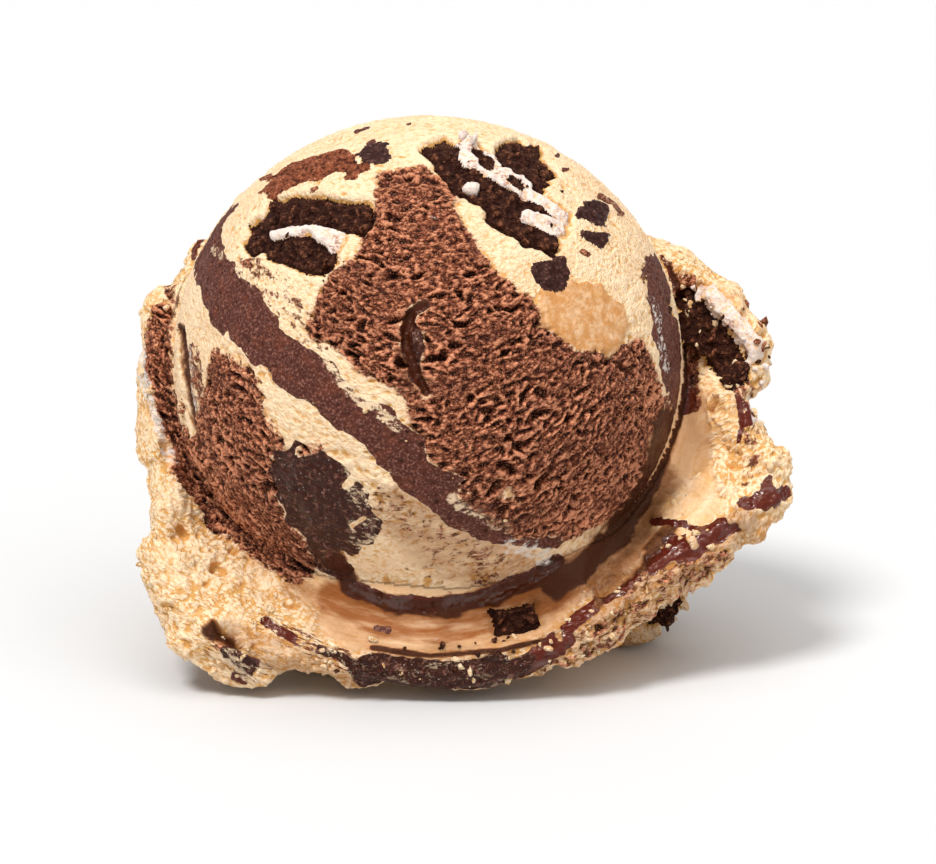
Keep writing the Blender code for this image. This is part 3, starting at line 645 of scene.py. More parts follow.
def photo_places(points, shape):
    """The photograph's pixel of each point, and how far the point is from the camera."""
    towards, upward = camera_axes(shape)
    out = points - np.array(camera_places(shape)[0])
    depth = out @ -np.array(towards)
    scale = shape.camera_distance * PIXELS_PER_METRE / depth
    across = PHOTO_WIDTH / 2 + out[:, 0] * scale
    down = PHOTO_HEIGHT / 2 - (out @ np.array(upward)) * scale
    return across, down, depth


def seen_points(points, normals, shape):
    """Which points the photograph sees, with their pixels."""
    across, down, depth = photo_places(points, shape)
    columns = np.clip(across / SEEN_CELL, 0, None).astype(int)
    rows = np.clip(down / SEEN_CELL, 0, None).astype(int)
    nearest = np.full((rows.max() + 1, columns.max() + 1), np.inf)
    np.minimum.at(nearest, (rows, columns), depth)
    facing = normals @ np.array(camera_axes(shape)[0]) > SEEN_FACING
    seen = np.flatnonzero(facing & (depth < nearest[rows, columns] + SEEN_DEPTH))
    return seen, across[seen], down[seen]


def from_path(across, down, path):
    """Distance in pixels from each point to a path."""
    nearest = np.full(len(across), np.inf)
    for (x0, y0), (x1, y1) in zip(path, path[1:]):
        run = (x1 - x0, y1 - y0)
        part = ((across - x0) * run[0] + (down - y0) * run[1]) / (run[0] ** 2 + run[1] ** 2)
        part = np.clip(part, 0, 1)
        reach = np.hypot(across - x0 - part * run[0], down - y0 - part * run[1])
        nearest = np.minimum(nearest, reach)
    return nearest


def ragged_reach(places, path, width):
    """Distance in pixels from a path, made uneven; thin strokes stay cleaner than wide ones."""
    across, down, ragged = places
    return from_path(across, down, path) + ragged * min(1.0, width / RAGGED_FROM)


def ragged_places(points, normals, shape, sizes, seeds):
    """The seen points, with their pixels and how far a stroke's edge strays at each."""
    seen, across, down = seen_points(points, normals, shape)
    layers = rolled(points[seen], shape, STREAK)
    ragged = RAGGED_WIDE * lumps(layers, sizes[0], seeds[0])
    ragged += RAGGED_FINE * lumps(layers, sizes[1], seeds[1])
    return seen, (across, down, ragged)


def grow_pieces(owner_of, seen, places):
    """Lets pieces reach as far as the photograph shows them."""
    names = list(frame["nodes"])
    for name, width, path in GROWN:
        owner_of[seen[ragged_reach(places, path, width) < width]] = names.index(name)


def painted_on(count, seen, places):
    """How strongly each point of the skin takes each kind of stroke: stains, and the painted shade of some
    of them.
    """
    painted = {kind: np.zeros(count) for kind in STAINS_AND_SHADE}
    for kind, strokes in STAINS_AND_SHADE.items():
        for strength, width, path in strokes:
            inner, outer = (width * share for share in STAIN_EDGE)
            amount = strength * (1 - smoothstep(inner, outer, ragged_reach(places, path, width)))
            painted[kind][seen] = np.maximum(painted[kind][seen], amount)
    return painted


def hollow_depth(count, seen, places):
    """How deep the torn hollows reach below the skin at each point."""
    values = np.zeros(count)
    for depth, width, path in HOLLOWS:
        inner, outer = (width * share for share in HOLLOW_EDGE)
        reach = depth * (1 - smoothstep(inner, outer, ragged_reach(places, path, width)))
        values[seen] = np.maximum(values[seen], reach)
    return values


# Relief


def ridges(points, size, seed):
    """1 in the hollows between a net of thin ridges, 0 on the ridges."""
    return smoothstep(0.04, 0.34, np.abs(lumps(points, size, seed)))


def swells(points, *layers):
    """Layers of soft noise, each by its height and the size of its lumps in millimetres, and a seed."""
    return sum(height * lumps(points, size * MM, seed) for height, size, seed in layers)


def bent(points, size, reach, seed):
    """The points shifted by soft noise, so that patterns laid on them lose their order."""
    return points + lump_vectors(points, size * MM, seed) * (reach * MM)


def holes(points, size, seed, inner, outer, uneven=0.0):
    """1 in round holes at the given spacing in millimetres, 0 between them."""
    return 1 - smoothstep(inner, outer, spots_near(points, size * MM, seed) + uneven)


def grains(points, size, seed):
    """High in the middle of grains of the given size in millimetres."""
    return 0.5 - spots_near(points, size * MM, seed)


# Heights in these functions are in millimetres until the last step
def chocolate_relief(points, shape):
    """Spongy: rows of pores between torn ridges."""
    rows = bent(bent(rolled(points, shape, 1.7), 1.9, 0.85, 3), 0.7, 0.30, 36)
    patches = smoothstep(-0.40, 0.25, lumps(rows, 4.0 * MM, 4))
    uneven = 0.22 * lumps(rows, 1.3 * MM, 46)
    large = holes(rows, 1.9, 5, 0.06, 0.40, uneven)
    small = holes(rows, 1.0, 37, 0.08, 0.48, uneven)
    relief = 0.44 - large * (0.30 + 1.05 * patches) - small * (0.30 + 0.48 * patches)
    relief -= ridges(rows, 1.0 * MM, 7) * (0.20 + 0.20 * patches)
    return (relief + swells(rows, (0.24, 0.42, 6))) * MM


def golden_relief(points, shape):
    """Packed grain in rows, with a few small holes."""
    rows = bent(rolled(points, shape, 1.8), 1.2, 0.3, 9)
    pits = holes(rows, 1.5, 10, 0.05, 0.28) * smoothstep(-0.30, 0.20, lumps(points, 5 * MM, 55))
    swell = swells(points, (0.14, 4.5, 11), (0.12, 0.60, 12))
    return (swell + 0.06 - 0.10 * ridges(rows, 0.95 * MM, 28) - 0.36 * pits) * MM


def torn_relief(points, shape):
    """Crumb pulled open: lumps, grains and holes."""
    loose = bent(points, 2.4, 0.8, 13)
    coarse = smoothstep(-0.35, 0.35, lumps(points, 6.5 * MM, 40))
    pits = holes(loose, 3.0, 16, 0.04, 0.32, 0.25 * lumps(points, 1.1 * MM, 56))
    swell = swells(points, (0.75, 4.4, 17)) + swells(loose, (0.34, 1.8, 18))
    crumb = 0.42 * (grains(loose, 1.0, 14) + 0.05) + 0.26 * grains(loose, 0.52, 34)
    crumb = crumb - 0.16 * ridges(loose, 1.6 * MM, 15) - 0.58 * pits
    return (0.08 + swell + crumb * (0.35 + 0.75 * coarse)) * MM


def fudge_relief(points, shape):
    """Dense crumb with a fine grain and a few small pores."""
    pores = holes(points, 1.5, 47, 0.06, 0.34, 0.2 * lumps(points, MM, 48))
    return (swells(points, (0.14, 1.4, 19), (0.15, 0.5, 20)) - 0.28 * pores) * MM


def toffee_relief(points, shape):
    """Smooth, with a faint swell."""
    return swells(points, (0.10, 1.6, 49), (0.05, 0.6, 54)) * MM


def pool_relief(points, shape):
    """Sticky, with small blisters."""
    return swells(points, (0.26, 0.95, 38), (0.16, 0.45, 39), (0.34, 2.4, 42)) * MM


def cookie_relief(points, shape):
    """Coarse dry crumb, broken and lumpy."""
    loose = bent(points, 1.4, 0.5, 21)
    swell = swells(points, (0.45, 2.6, 23)) + swells(loose, (0.22, 0.8, 24))
    crumb = 0.55 * grains(loose, 0.85, 22) + 1.1 * grains(loose, 2.1, 41)
    return (swell + crumb - 0.30 * ridges(loose, 1.9 * MM, 35) - 0.05) * MM


def cream_relief(points, shape):
    """Soft and uneven."""
    return swells(points, (0.36, 1.5, 25), (0.18, 0.6, 26)) * MM


def chip_relief(points, shape):
    """Broken facets with a fine grain."""
    return (0.55 * grains(points, 1.5, 43) + swells(points, (0.14, 0.5, 44))) * MM


RELIEF_OF = {
    "golden": golden_relief, "torn": torn_relief, "chocolate": chocolate_relief,
    "fudge": fudge_relief, "pool": pool_relief, "cookie": cookie_relief, "cream": cream_relief,
    "toffee": toffee_relief, "flake": chip_relief, "chip": chip_relief,
}
STANDS_OUT = {"cookie": -0.25, "cream": 0.0, "toffee": 0.30, "chip": 0.15, "flake": -0.05}
FIRM_GAP = 0.55 * MM
SKIN_SPREAD = 2
EDGE_SPREAD = 9
BORDER_SPREAD = 18
FOOT_FADE = 2.5 * MM


# The dome: how far off the ball its skin may lie, and where along its axis it starts
DOME_SKIN = (0.5 * MM, 1.4 * MM)
DOME_START = (-6.0 * MM, -2.0 * MM)

# Where the collar is pressed smooth: angles in degrees, distances from the dome's axis, depth
# along it, and how much of it is lost on the dome
SMEAR_STARTS = (236, 250)
SMEAR_ENDS = (350, 359)
SMEAR_INSIDE = (27 * MM, 29 * MM)
SMEAR_OUTSIDE = (35 * MM, 37.5 * MM)
SMEAR_DEPTH = (-12 * MM, -9 * MM)
SMEAR_OFF_DOME = 0.85


def on_dome(points, shape):
    """1 on the rolled front of the ball, 0 on the collar, the foot and the back."""
    out = from_ball(points, shape)
    forward, _ = dome_axes(shape)
    off_ball = np.abs(np.linalg.norm(out, axis=1) - shape.ball_radius)
    return (1 - smoothstep(*DOME_SKIN, off_ball)) * smoothstep(*DOME_START, out @ forward)


def smeared(points, shape):
    """1 where the scoop's edge has pressed the collar smooth, low and right in the groove."""
    depth, across, turn = dome_places(points, shape)
    turn = np.degrees(turn) % 360
    sector = smoothstep(*SMEAR_STARTS, turn) * (1 - smoothstep(*SMEAR_ENDS, turn))
    band = smoothstep(*SMEAR_INSIDE, across) * (1 - smoothstep(*SMEAR_OUTSIDE, across))
    here = sector * band * smoothstep(*SMEAR_DEPTH, depth)
    return here * (1 - SMEAR_OFF_DOME * on_dome(points, shape))


def away_from_camera(normals, edges, shape):
    """1 on the sides that the photograph doesn't show."""
    facing = normals @ np.array(camera_axes(shape)[0])
    return spread(1 - smoothstep(-0.35, 0.05, facing), edges, 6)


def hidden_marbling(points, shape):
    """Chocolate streaks for the back, as thinly spread as on the collar in front."""
    layers = rolled(points, shape, 2.2)
    layers = layers + lump_vectors(layers, 12 * MM, 50) * (5 * MM)
    streaks = 1 - smoothstep(0.06, 0.24, np.abs(lumps(layers, 17 * MM, 51)))
    broken = smoothstep(-0.25, 0.10, lumps(points, 13 * MM, 52))
    return 0.80 * streaks * broken


def hidden_clouds(points):
    return 0.55 * smoothstep(0.05, 0.45, lumps(points, 9 * MM, 53))


def relief_height(points, share, crag, shape):
    """The height of the relief at each point, from every finish's share in it."""
    height = np.zeros(len(points))
    for name, weight in share.items():
        touched = weight > 0.01
        if touched.any():
            relief = RELIEF_OF[name](points[touched], shape) + STANDS_OUT.get(name, 0.0) * MM
            if name == "torn":
                relief *= 1 + crag[touched]
            height[touched] += weight[touched] * relief
    return height


def carve(skin, owner_of, shape):
    """Roughens the skin by finish, and keeps what the materials need as attributes."""
    mesh = skin.data
    edges = read_edges(mesh)
    points = read_vectors(mesh.vertices, "co")
    normals = read_vectors(mesh.vertices, "normal")
    finish_at = np.array([finish_of(name) for name in frame["nodes"]])[owner_of]
    share = {name: spread((finish_at == name).astype(float), edges, SKIN_SPREAD)
             for name in SOFT + FIRM}
    dome = spread(on_dome(points, shape), edges, 2)
    seen, places = ragged_places(points, normals, shape, (1.6 * MM, 0.6 * MM), (30, 31))
    painted = painted_on(len(points), seen, places)
    smear = spread(smeared(points, shape), edges, 4) * share["golden"]
    smear = np.maximum(smear, painted["smear"] * share["golden"]) * (1 - painted["dry"])
    unseen = away_from_camera(normals, edges, shape)
    cocoa = np.maximum(painted["cocoa"], hidden_marbling(points, shape) * unseen)
    # Warm dark tint: painted shade from the strokes on the groove and lower collar, and the back's clouds
    caramel = np.maximum(painted["caramel"], hidden_clouds(points) * unseen)

    # Golden ice cream is torn outside the dome and where it is porous, and packed elsewhere
    rough = (1 - dome) * (1 - smear) * (1 - painted["smooth"])
    porous = np.maximum(painted["porous"], 0.55 * smoothstep(0.0, 0.3, lumps(points, 7 * MM, 45)))
    share["torn"] = share["golden"] * np.maximum(rough, porous * dome)
    share["golden"] = share["golden"] * np.maximum(dome * (1 - porous), smear * 0.35)
    height = relief_height(points, share, painted["crag"], shape)
    firm_wide = spread(share["cookie"] + share["cream"], edges, 4)
    height -= 4 * firm_wide * (1 - firm_wide) * FIRM_GAP
    height -= hollow_depth(len(points), seen, places)
    keep_round = smoothstep(0.0, FOOT_FADE, points[:, 2])
    mesh.vertices.foreach_set("co", (points + normals * (height * keep_round)[:, None]).ravel())

    all_fudge = share["fudge"] + share["pool"]
    wet = share["fudge"] * (1 - dome) * (1 - painted["grit"])
    attributes = {
        # How far each point stands out of its surroundings; the materials use it for painted shade in the
        # pits and painted highlight on the ridges
        "pit": (height - spread(height, edges, 12)) / MM,
        "cocoa": np.maximum(spread(share["chocolate"], edges, BORDER_SPREAD), cocoa),
        "cocoa_wide": spread(share["chocolate"], edges, EDGE_SPREAD),
        "fudge": np.maximum(all_fudge, painted["fudge"]),
        "fudge_wide": spread(all_fudge, edges, EDGE_SPREAD),
        "pool": np.maximum(spread(share["pool"], edges, 1), painted["grit"] * share["fudge"]),
        "wet": np.maximum(spread(wet, edges, 2), painted["wet"]),
        "caramel": caramel,
        "smear": smear,
        "torn": spread(1 - dome, edges, 4),
        "flow": flow_places(points, dome, unseen, shape),
    }
    attributes.update((kind, painted[kind]) for kind in ("brown", "frost", "speckle", "threads"))
    for name, values in attributes.items():
        write_attribute(mesh, name, values)
    mesh.update()


# Parting the skin

GOLDEN_PARTS = ("golden_dome", "golden_collar_left", "golden_collar_right", "golden_back", "golden_foot")
FOOT_HEIGHT = 13 * MM


def golden_part(points, shape):
    """Which of the golden pieces each point lies in: dome, two halves of the collar, back, foot."""
    out = from_ball(points, shape)
    forward, _ = dome_axes(shape)
    depth = out @ forward
    part = np.where(out[:, 0] < 0, 1, 2)
    part = np.where(depth < BACK_DEPTH, 3, part)
    part = np.where((points[:, 2] < FOOT_HEIGHT) & (depth < BACK_DEPTH), 4, part)
    return np.where(on_dome(points, shape) > 0.5, 0, part)


def part_skin(skin, owner_of, shape):
    """Parts the skin into one object for each solid, and the golden ice cream into five."""
    mesh = skin.data
    names = list(frame["nodes"])
    labels = names + list(GOLDEN_PARTS)
    points = read_vectors(mesh.vertices, "co")
    golden_index = names.index("golden_ice_cream")
    label_at = np.where(owner_of == golden_index, len(names) + golden_part(points, shape), owner_of)
    corners = np.empty(len(mesh.loops), dtype=np.int32)
    mesh.loops.foreach_get("vertex_index", corners)
    quads = label_at[corners.reshape(-1, 4)]
    same = (quads[:, :, None] == quads[:, None, :]).sum(axis=2)
    majority = quads[np.arange(len(quads)), same.argmax(axis=1)]
    for label in labels:
        mesh.materials.append(bpy.data.materials.new("label:" + label))
    mesh.polygons.foreach_set("material_index", majority.astype(np.int32))
    mesh.polygons.foreach_set("use_smooth", np.ones(len(mesh.polygons), dtype=bool))
    mesh.update()
    before = set(bpy.data.objects)
    bpy.ops.object.select_all(action="DESELECT")
    skin.select_set(True)
    bpy.context.view_layer.objects.active = skin
    bpy.ops.object.mode_set(mode="EDIT")
    bpy.ops.mesh.select_all(action="SELECT")
    bpy.ops.mesh.separate(type="MATERIAL")
    bpy.ops.object.mode_set(mode="OBJECT")
    parts = [skin] + [obj for obj in bpy.data.objects if obj not in before]
    for part in parts:
        used = np.empty(len(part.data.polygons), dtype=np.int32)
        part.data.polygons.foreach_get("material_index", used)
        label = part.data.materials[int(used[0])].name.split(":")[1]
        part.data.materials.clear()
        part.name = part.data.name = "skin_" + label
    for label in labels:
        bpy.data.materials.remove(bpy.data.materials["label:" + label])


# Materials


class Graph:
    """A short way to add and join the nodes of one tree."""

    def __init__(self, tree):
        self.tree = tree

    def put(self, socket, value):
        if isinstance(value, bpy.types.NodeSocket):
            self.tree.links.new(value, socket)
        elif value is not None:
            socket.default_value = value

    def node(self, kind, settings=None, **inputs):
        made = self.tree.nodes.new(kind)
        for key, value in (settings or {}).items():
            setattr(made, key, value)
        for key, value in inputs.items():
            self.put(made.inputs[key.replace("_", " ")], value)
        return made

    def math(self, operation, first, second=None, third=None, clamp=False):
        made = self.node("ShaderNodeMath", {"operation": operation, "use_clamp": clamp})
        for socket, value in zip(made.inputs, (first, second, third)):
            self.put(socket, value)
        return made.outputs[0]

    def blend(self, factor, first, second):
        made = self.node("ShaderNodeMix", {"data_type": "RGBA"})
        self.put(made.inputs[0], factor)
        self.put(made.inputs[6], first)
        self.put(made.inputs[7], second)
        return made.outputs[2]

    def range(self, value, low, high, to_low=0.0, to_high=1.0):
        made = self.node("ShaderNodeMapRange", {"interpolation_type": "SMOOTHSTEP"})
        for socket, given in zip(made.inputs, (value, low, high, to_low, to_high)):
            self.put(socket, given)
        return made.outputs[0]

    def tint(self, base, colour, value, low, high, least=0.0, most=1.0):
        """Lays a colour over the base as a value goes from low to high."""
        return self.blend(self.range(value, low, high, least, most), base, rgba(colour))

    def times(self, first, second):
        return self.math("MULTIPLY", first, second)

    def plus(self, first, second, clamp=False):
        return self.math("ADD", first, second, clamp=clamp)

    def place(self):
        return self.node("ShaderNodeTexCoord").outputs["Object"]

    def noise(self, vector, size, detail=2.0, roughness=0.5):
        """Soft noise from 0 to 1, with lumps of the given size."""
        return self.node("ShaderNodeTexNoise", Vector=vector, Scale=1 / size, Detail=detail,
                         Roughness=roughness).outputs[0]

    def cells(self, vector, size):
        """Distance to the nearest of many scattered spots, in their spacings."""
        return self.node("ShaderNodeTexVoronoi", Vector=vector, Scale=1 / size).outputs["Distance"]

    def attribute(self, name, output="Fac"):
        return self.node("ShaderNodeAttribute", {"attribute_name": name}).outputs[output]


def rgba(value):
    return (*value, 1.0)


def new_group(name, inputs, outputs):
    """An empty shader group with named sockets; returns the group, its graph and its two ends."""
    group = bpy.data.node_groups.new(name, "ShaderNodeTree")
    kinds = {"Float": "NodeSocketFloat", "Color": "NodeSocketColor", "Vector": "NodeSocketVector"}
    for socket_name, kind in inputs:
        group.interface.new_socket(socket_name, in_out="INPUT", socket_type=kinds[kind])
    for socket_name, kind in outputs:
        group.interface.new_socket(socket_name, in_out="OUTPUT", socket_type=kinds[kind])
    graph = Graph(group)
    start = group.nodes.new("NodeGroupInput").outputs
    end = group.nodes.new("NodeGroupOutput").inputs
    return group, graph, start, end


def place_group(graph, group, **inputs):
    made = graph.node("ShaderNodeGroup", {"node_tree": group})
    for key, value in inputs.items():
        graph.put(made.inputs[key.replace("_", " ")], value)
    return made.outputs


def new_material(name, **constants):
    """A material with a plain Principled BSDF; constants go on the shader's own sockets."""
    material = bpy.data.materials.new(name)
    material.use_nodes = True
    graph = Graph(material.node_tree)
    shader = material.node_tree.nodes["Principled BSDF"]
    for key, value in constants.items():
        shader.inputs[key.replace("_", " ")].default_value = value
    return material, graph, shader


def add_bump(graph, shader, height, distance):
    bump = graph.node("ShaderNodeBump", Strength=1.0, Distance=distance, Height=height)
    graph.put(shader.inputs["Normal"], bump.outputs[0])


def grain_group():
    """Fine crumb: rounded grains with dark gaps between them, at two sizes."""
    group, graph, start, end = new_group(
        "Grain", [("Vector", "Vector"), ("Size", "Float")], [("Height", "Float"), ("Gap", "Float")])
    scaled = graph.node("ShaderNodeVectorMath", {"operation": "DIVIDE"})
    graph.put(scaled.inputs[0], start["Vector"])
    graph.put(scaled.inputs[1], start["Size"])
    bend = graph.node("ShaderNodeTexNoise", Vector=scaled.outputs[0], Scale=0.7, Detail=2.0)
    shifted = graph.node("ShaderNodeVectorMath", {"operation": "ADD"})
    graph.put(shifted.inputs[0], scaled.outputs[0])
    graph.put(shifted.inputs[1], bend.outputs["Color"])
    coarse = graph.cells(shifted.outputs[0], 1.0)
    fine = graph.cells(shifted.outputs[0], 0.45)
    both = graph.plus(graph.times(coarse, 0.65), graph.times(fine, 0.35))
    graph.put(end["Height"], graph.math("SUBTRACT", 1.0, both))
    graph.put(end["Gap"], graph.range(both, 0.38, 0.72))
    return group


def golden_tone(graph, colours, crumb, flow, ragged):
    """Golden ice cream: pale ridges, saturated gaps and pits darkened as painted shade, warm clouds,
    smooth streaks where smeared, and dark brown and warm tints in the groove that are partly painted
    shade.
    """
    torn = graph.attribute("torn")
    # Darker, more saturated golden in the pits and the gaps between grains: painted shade, over the pits'
    # own warmer tone
    gaps = graph.times(crumb["Gap"], graph.range(torn, 0.0, 1.0, 0.42, 0.90))
    patchy = graph.range(graph.noise(graph.place(), 4.5 * MM, 2.0), 0.38, 0.60, 0.45, 1.10)
    deep = graph.plus(graph.range(graph.attribute("pit"), 0.05, -0.24), graph.times(gaps, patchy))
    tone = graph.tint(rgba(colours.golden), colours.golden_deep, deep, 0.0, 0.95)
    cloud = graph.noise(graph.place(), 6.0 * MM, 3.0)
    tone = graph.tint(tone, colours.smear, cloud, 0.45, 0.75, 0.0, 0.40)
    streaks = graph.noise(stretched(graph, flow), 1.3 * MM, 4.0, 0.6)
    smooth = graph.tint(rgba(colours.smear), colours.golden_deep, streaks, 0.50, 0.68, 0.0, 0.75)
    smooth = graph.tint(smooth, colours.golden, streaks, 0.46, 0.32, 0.0, 0.65)
    smeared_here = graph.range(graph.attribute("smear"), 0.2, 0.9, 0.0, 0.85)
    tone = graph.blend(smeared_here, tone, smooth)
    # The brown strokes turn the golden dark brown: melted chocolate, and painted shade in the groove and
    # its creases
    melted = graph.math("MULTIPLY_ADD", ragged, 0.30, graph.attribute("brown"))
    tone = graph.tint(tone, colours.caramel, melted, 0.05, 0.50, 0.0, 0.80)
    # Laid from the strokes and the back's clouds: stains, and painted shade in the groove and on the lower
    # collar
    stained = graph.times(graph.attribute("caramel"), graph.range(streaks, 0.30, 0.62, 0.55, 1.0))
    return graph.blend(stained, tone, rgba(colours.caramel)), melted


def chocolate_tone(graph, colours, crumb, flow):
    """Chocolate ice cream: torn ridges lightened as painted highlight over pores darkened as painted
    shade, with motes and darker swirls.
    """
    grain = graph.times(graph.math("SUBTRACT", crumb["Height"], 0.6), 0.8)
    ridge = graph.plus(graph.attribute("pit"), grain)
    mote = graph.noise(graph.place(), 0.26 * MM, 2.0, 0.7)
    # Lighter on raised ridges and darker in the pores: painted highlight and painted shade
    tone = graph.tint(rgba(colours.chocolate), colours.chocolate_light, ridge, -0.10, 0.26)
    tone = graph.tint(tone, colours.chocolate_deep, ridge, -0.02, -0.34)
    tone = graph.tint(tone, colours.chocolate_light, mote, 0.54, 0.68, 0.0, 0.70)
    tone = graph.tint(tone, colours.chocolate_deep, mote, 0.44, 0.30, 0.0, 0.65)
    swirl = graph.noise(stretched(graph, flow), 3.2 * MM, 3.0)
    return graph.tint(tone, colours.fudge, swirl, 0.45, 0.65, 0.0, 0.30)


def fudge_tone(graph, colours, flow, ragged):
    """Fudge: purple brown with frosted grain, darker in its pits as painted shade, redder where it is wet,
    gritty where it is sticky, with pale specks as painted glints.
    """
    place = graph.place()
    speck = graph.noise(place, 0.33 * MM, 2.0, 0.7)
    cloud = graph.noise(flow, 2.2 * MM, 4.0, 0.65)
    tone = graph.tint(rgba(colours.fudge), colours.fudge_light, speck, 0.50, 0.70)
    tone = graph.tint(tone, colours.fudge_pool, speck, 0.46, 0.30, 0.0, 0.8)
    # Darker in the pits: painted shade
    tone = graph.tint(tone, colours.fudge_pool, graph.attribute("pit"), 0.0, -0.25, 0.0, 0.8)
    tone = graph.tint(tone, colours.chocolate, cloud, 0.50, 0.62, 0.0, 0.28)
    syrup = graph.tint(rgba(colours.fudge_wet), colours.chocolate, ragged, 0.05, 0.5, 0.0, 0.5)
    tone = graph.blend(graph.range(graph.attribute("wet"), 0.3, 0.8), tone, syrup)
    grit = graph.noise(place, 0.75 * MM, 4.0, 0.75)
    # Pale specks on the sticky fudge: painted glints
    glint = graph.noise(place, 0.30 * MM, 2.0, 0.6)
    sticky = graph.tint(rgba(colours.fudge_pool), colours.fudge_light, grit, 0.52, 0.68, 0.0, 0.80)
    sticky = graph.tint(sticky, colours.frost, glint, 0.68, 0.74, 0.0, 0.6)
    return graph.blend(graph.range(graph.attribute("pool"), 0.3, 0.8), tone, sticky)


def stretched(graph, flow):
    """The flow places, drawn out along the layers."""
    return graph.node("ShaderNodeMapping", Vector=flow, Scale=(0.30, 1.0, 0.30)).outputs[0]


def threaded(graph, colours, golden, flow):
    """Thin dark threads through the golden ice cream, where the skin has the threads attribute."""
    line = graph.noise(stretched(graph, flow), 2.6 * MM, 5.0, 0.68)
    line = graph.math("ABSOLUTE", graph.math("SUBTRACT", line, 0.5))
    thread = graph.math("SUBTRACT", graph.times(graph.attribute("threads"), 0.055), line)
    dark = graph.blend(0.6, rgba(colours.fudge_wet), rgba(colours.chocolate))
    return graph.blend(graph.range(thread, -0.004, 0.016), golden, dark)


def golden_flecks(graph, flow):
    """How much golden ice cream clings to the rims of the fudge and where it is speckled."""
    wide = graph.attribute("fudge_wide")
    speckle = graph.attribute("speckle")
    rim = graph.times(wide, graph.math("SUBTRACT", 1.0, wide))
    fleck = graph.plus(graph.noise(flow, 1.1 * MM, 5.0, 0.75), graph.times(speckle, 0.16))
    flecked = graph.plus(graph.range(rim, 0.08, 0.24), speckle, clamp=True)
    flecked = graph.times(flecked, graph.range(fleck, 0.60, 0.68))
    off_cocoa = graph.range(graph.attribute("cocoa_wide"), 0.1, 0.6, 1.0, 0.15)
    return graph.times(graph.times(flecked, off_cocoa), 0.85)


def marbling_group(colours, grain):
    """Golden and chocolate ice cream and fudge, told apart by the skin's attributes."""
    group, graph, start, end = new_group(
        "Marbling", [("Border", "Float")],
        [("Colour", "Color"), ("Roughness", "Float"), ("Coat", "Float"), ("Height", "Float")])
    flow = graph.attribute("flow", "Vector")
    torn = graph.attribute("torn")
    wet = graph.attribute("wet")
    crumb = place_group(graph, grain, Vector=flow, Size=0.42 * MM)
    ragged = graph.math("SUBTRACT", graph.noise(flow, 0.95 * MM, 4.0, 0.72), 0.5)
    ragged = graph.times(ragged, start["Border"])
    golden, melted = golden_tone(graph, colours, crumb, flow, ragged)
    cocoa_near = graph.attribute("cocoa_wide")
    golden = graph.tint(golden, colours.chocolate_light, cocoa_near, 0.05, 0.6, 0.0, 0.28)
    golden = threaded(graph, colours, golden, flow)
    is_cocoa = graph.range(graph.plus(graph.attribute("cocoa"), ragged), 0.42, 0.64)
    strays = graph.times(ragged, graph.range(torn, 0.0, 1.0, 0.35, 0.70))
    is_fudge = graph.range(graph.plus(strays, graph.attribute("fudge")), 0.42, 0.58)

    tone = graph.blend(is_cocoa, golden, chocolate_tone(graph, colours, crumb, flow))
    tone = graph.blend(is_fudge, tone, fudge_tone(graph, colours, flow, ragged))
    tone = graph.blend(golden_flecks(graph, flow), tone, rgba(colours.golden))
    # Darkest where the brown strokes are strongest: painted shade in the groove and creases, with melted
    # chocolate
    tone = graph.tint(tone, colours.stain_and_shade, melted, 0.35, 0.85, 0.0, 0.94)
    # From the strokes: ice crystals, and painted highlight on the glossy fudge sheet and edge vein
    frosted = graph.plus(graph.attribute("frost"), ragged)
    tone = graph.tint(tone, colours.frost, frosted, 0.35, 0.65, 0.0, 0.8)
    graph.put(end["Colour"], tone)

    dry = graph.range(is_cocoa, 0.0, 1.0, 0.55, 0.62)
    sticky = graph.range(graph.plus(wet, graph.attribute("pool")), 0.2, 0.8, 0.55, 0.30)
    mixed = graph.node("ShaderNodeMix", {"data_type": "FLOAT"})
    for socket, value in zip(mixed.inputs[:1] + mixed.inputs[2:4], (is_fudge, dry, sticky)):
        graph.put(socket, value)
    graph.put(end["Roughness"], mixed.outputs[0])
    glossy = graph.range(graph.noise(flow, 1.5 * MM, 3.0, 0.6), 0.44, 0.60, 0.04, 1.0)
    glossy = graph.times(glossy, graph.range(wet, 0.2, 0.8, 0.0, 0.75))
    graph.put(end["Coat"], graph.times(is_fudge, glossy))
    rough = graph.plus(graph.range(torn, 0.0, 1.0, 0.8, 1.1), graph.times(is_cocoa, 0.5))
    for mask, low, high, left in ((is_fudge, 0.0, 1.0, 0.60), (wet, 0.2, 0.8, 0.35),
                                  (graph.attribute("smear"), 0.0, 1.0, 0.25)):
        rough = graph.times(rough, graph.range(mask, low, high, 1.0, left))
    graph.put(end["Height"], graph.times(crumb["Height"], rough))
    return group


# What the highlights are tinted with on pale and on brown pieces, and how far borders stray
PLAIN_GLEAM = (1.0, 0.86, 0.72)
WARM_GLEAM = (1.0, 0.68, 0.55)
BORDER_STRAY = 2.1


def ice_cream_material(name, marbling, bump, gleam):
    """Ice cream or fudge: the marbling, softly lit from within."""
    material, graph, shader = new_material(
        name, Subsurface_Weight=0.12, Subsurface_Radius=(1.0, 0.55, 0.25),
        Subsurface_Scale=0.8 * MM, Coat_Roughness=0.10, Specular_IOR_Level=0.22,
        Specular_Tint=rgba(gleam))
    skin = place_group(graph, marbling, Border=BORDER_STRAY)
    for socket, value in (("Base Color", "Colour"), ("Roughness", "Roughness"), ("Coat Weight", "Coat")):
        graph.put(shader.inputs[socket], skin[value])
    add_bump(graph, shader, skin["Height"], bump)
    return material


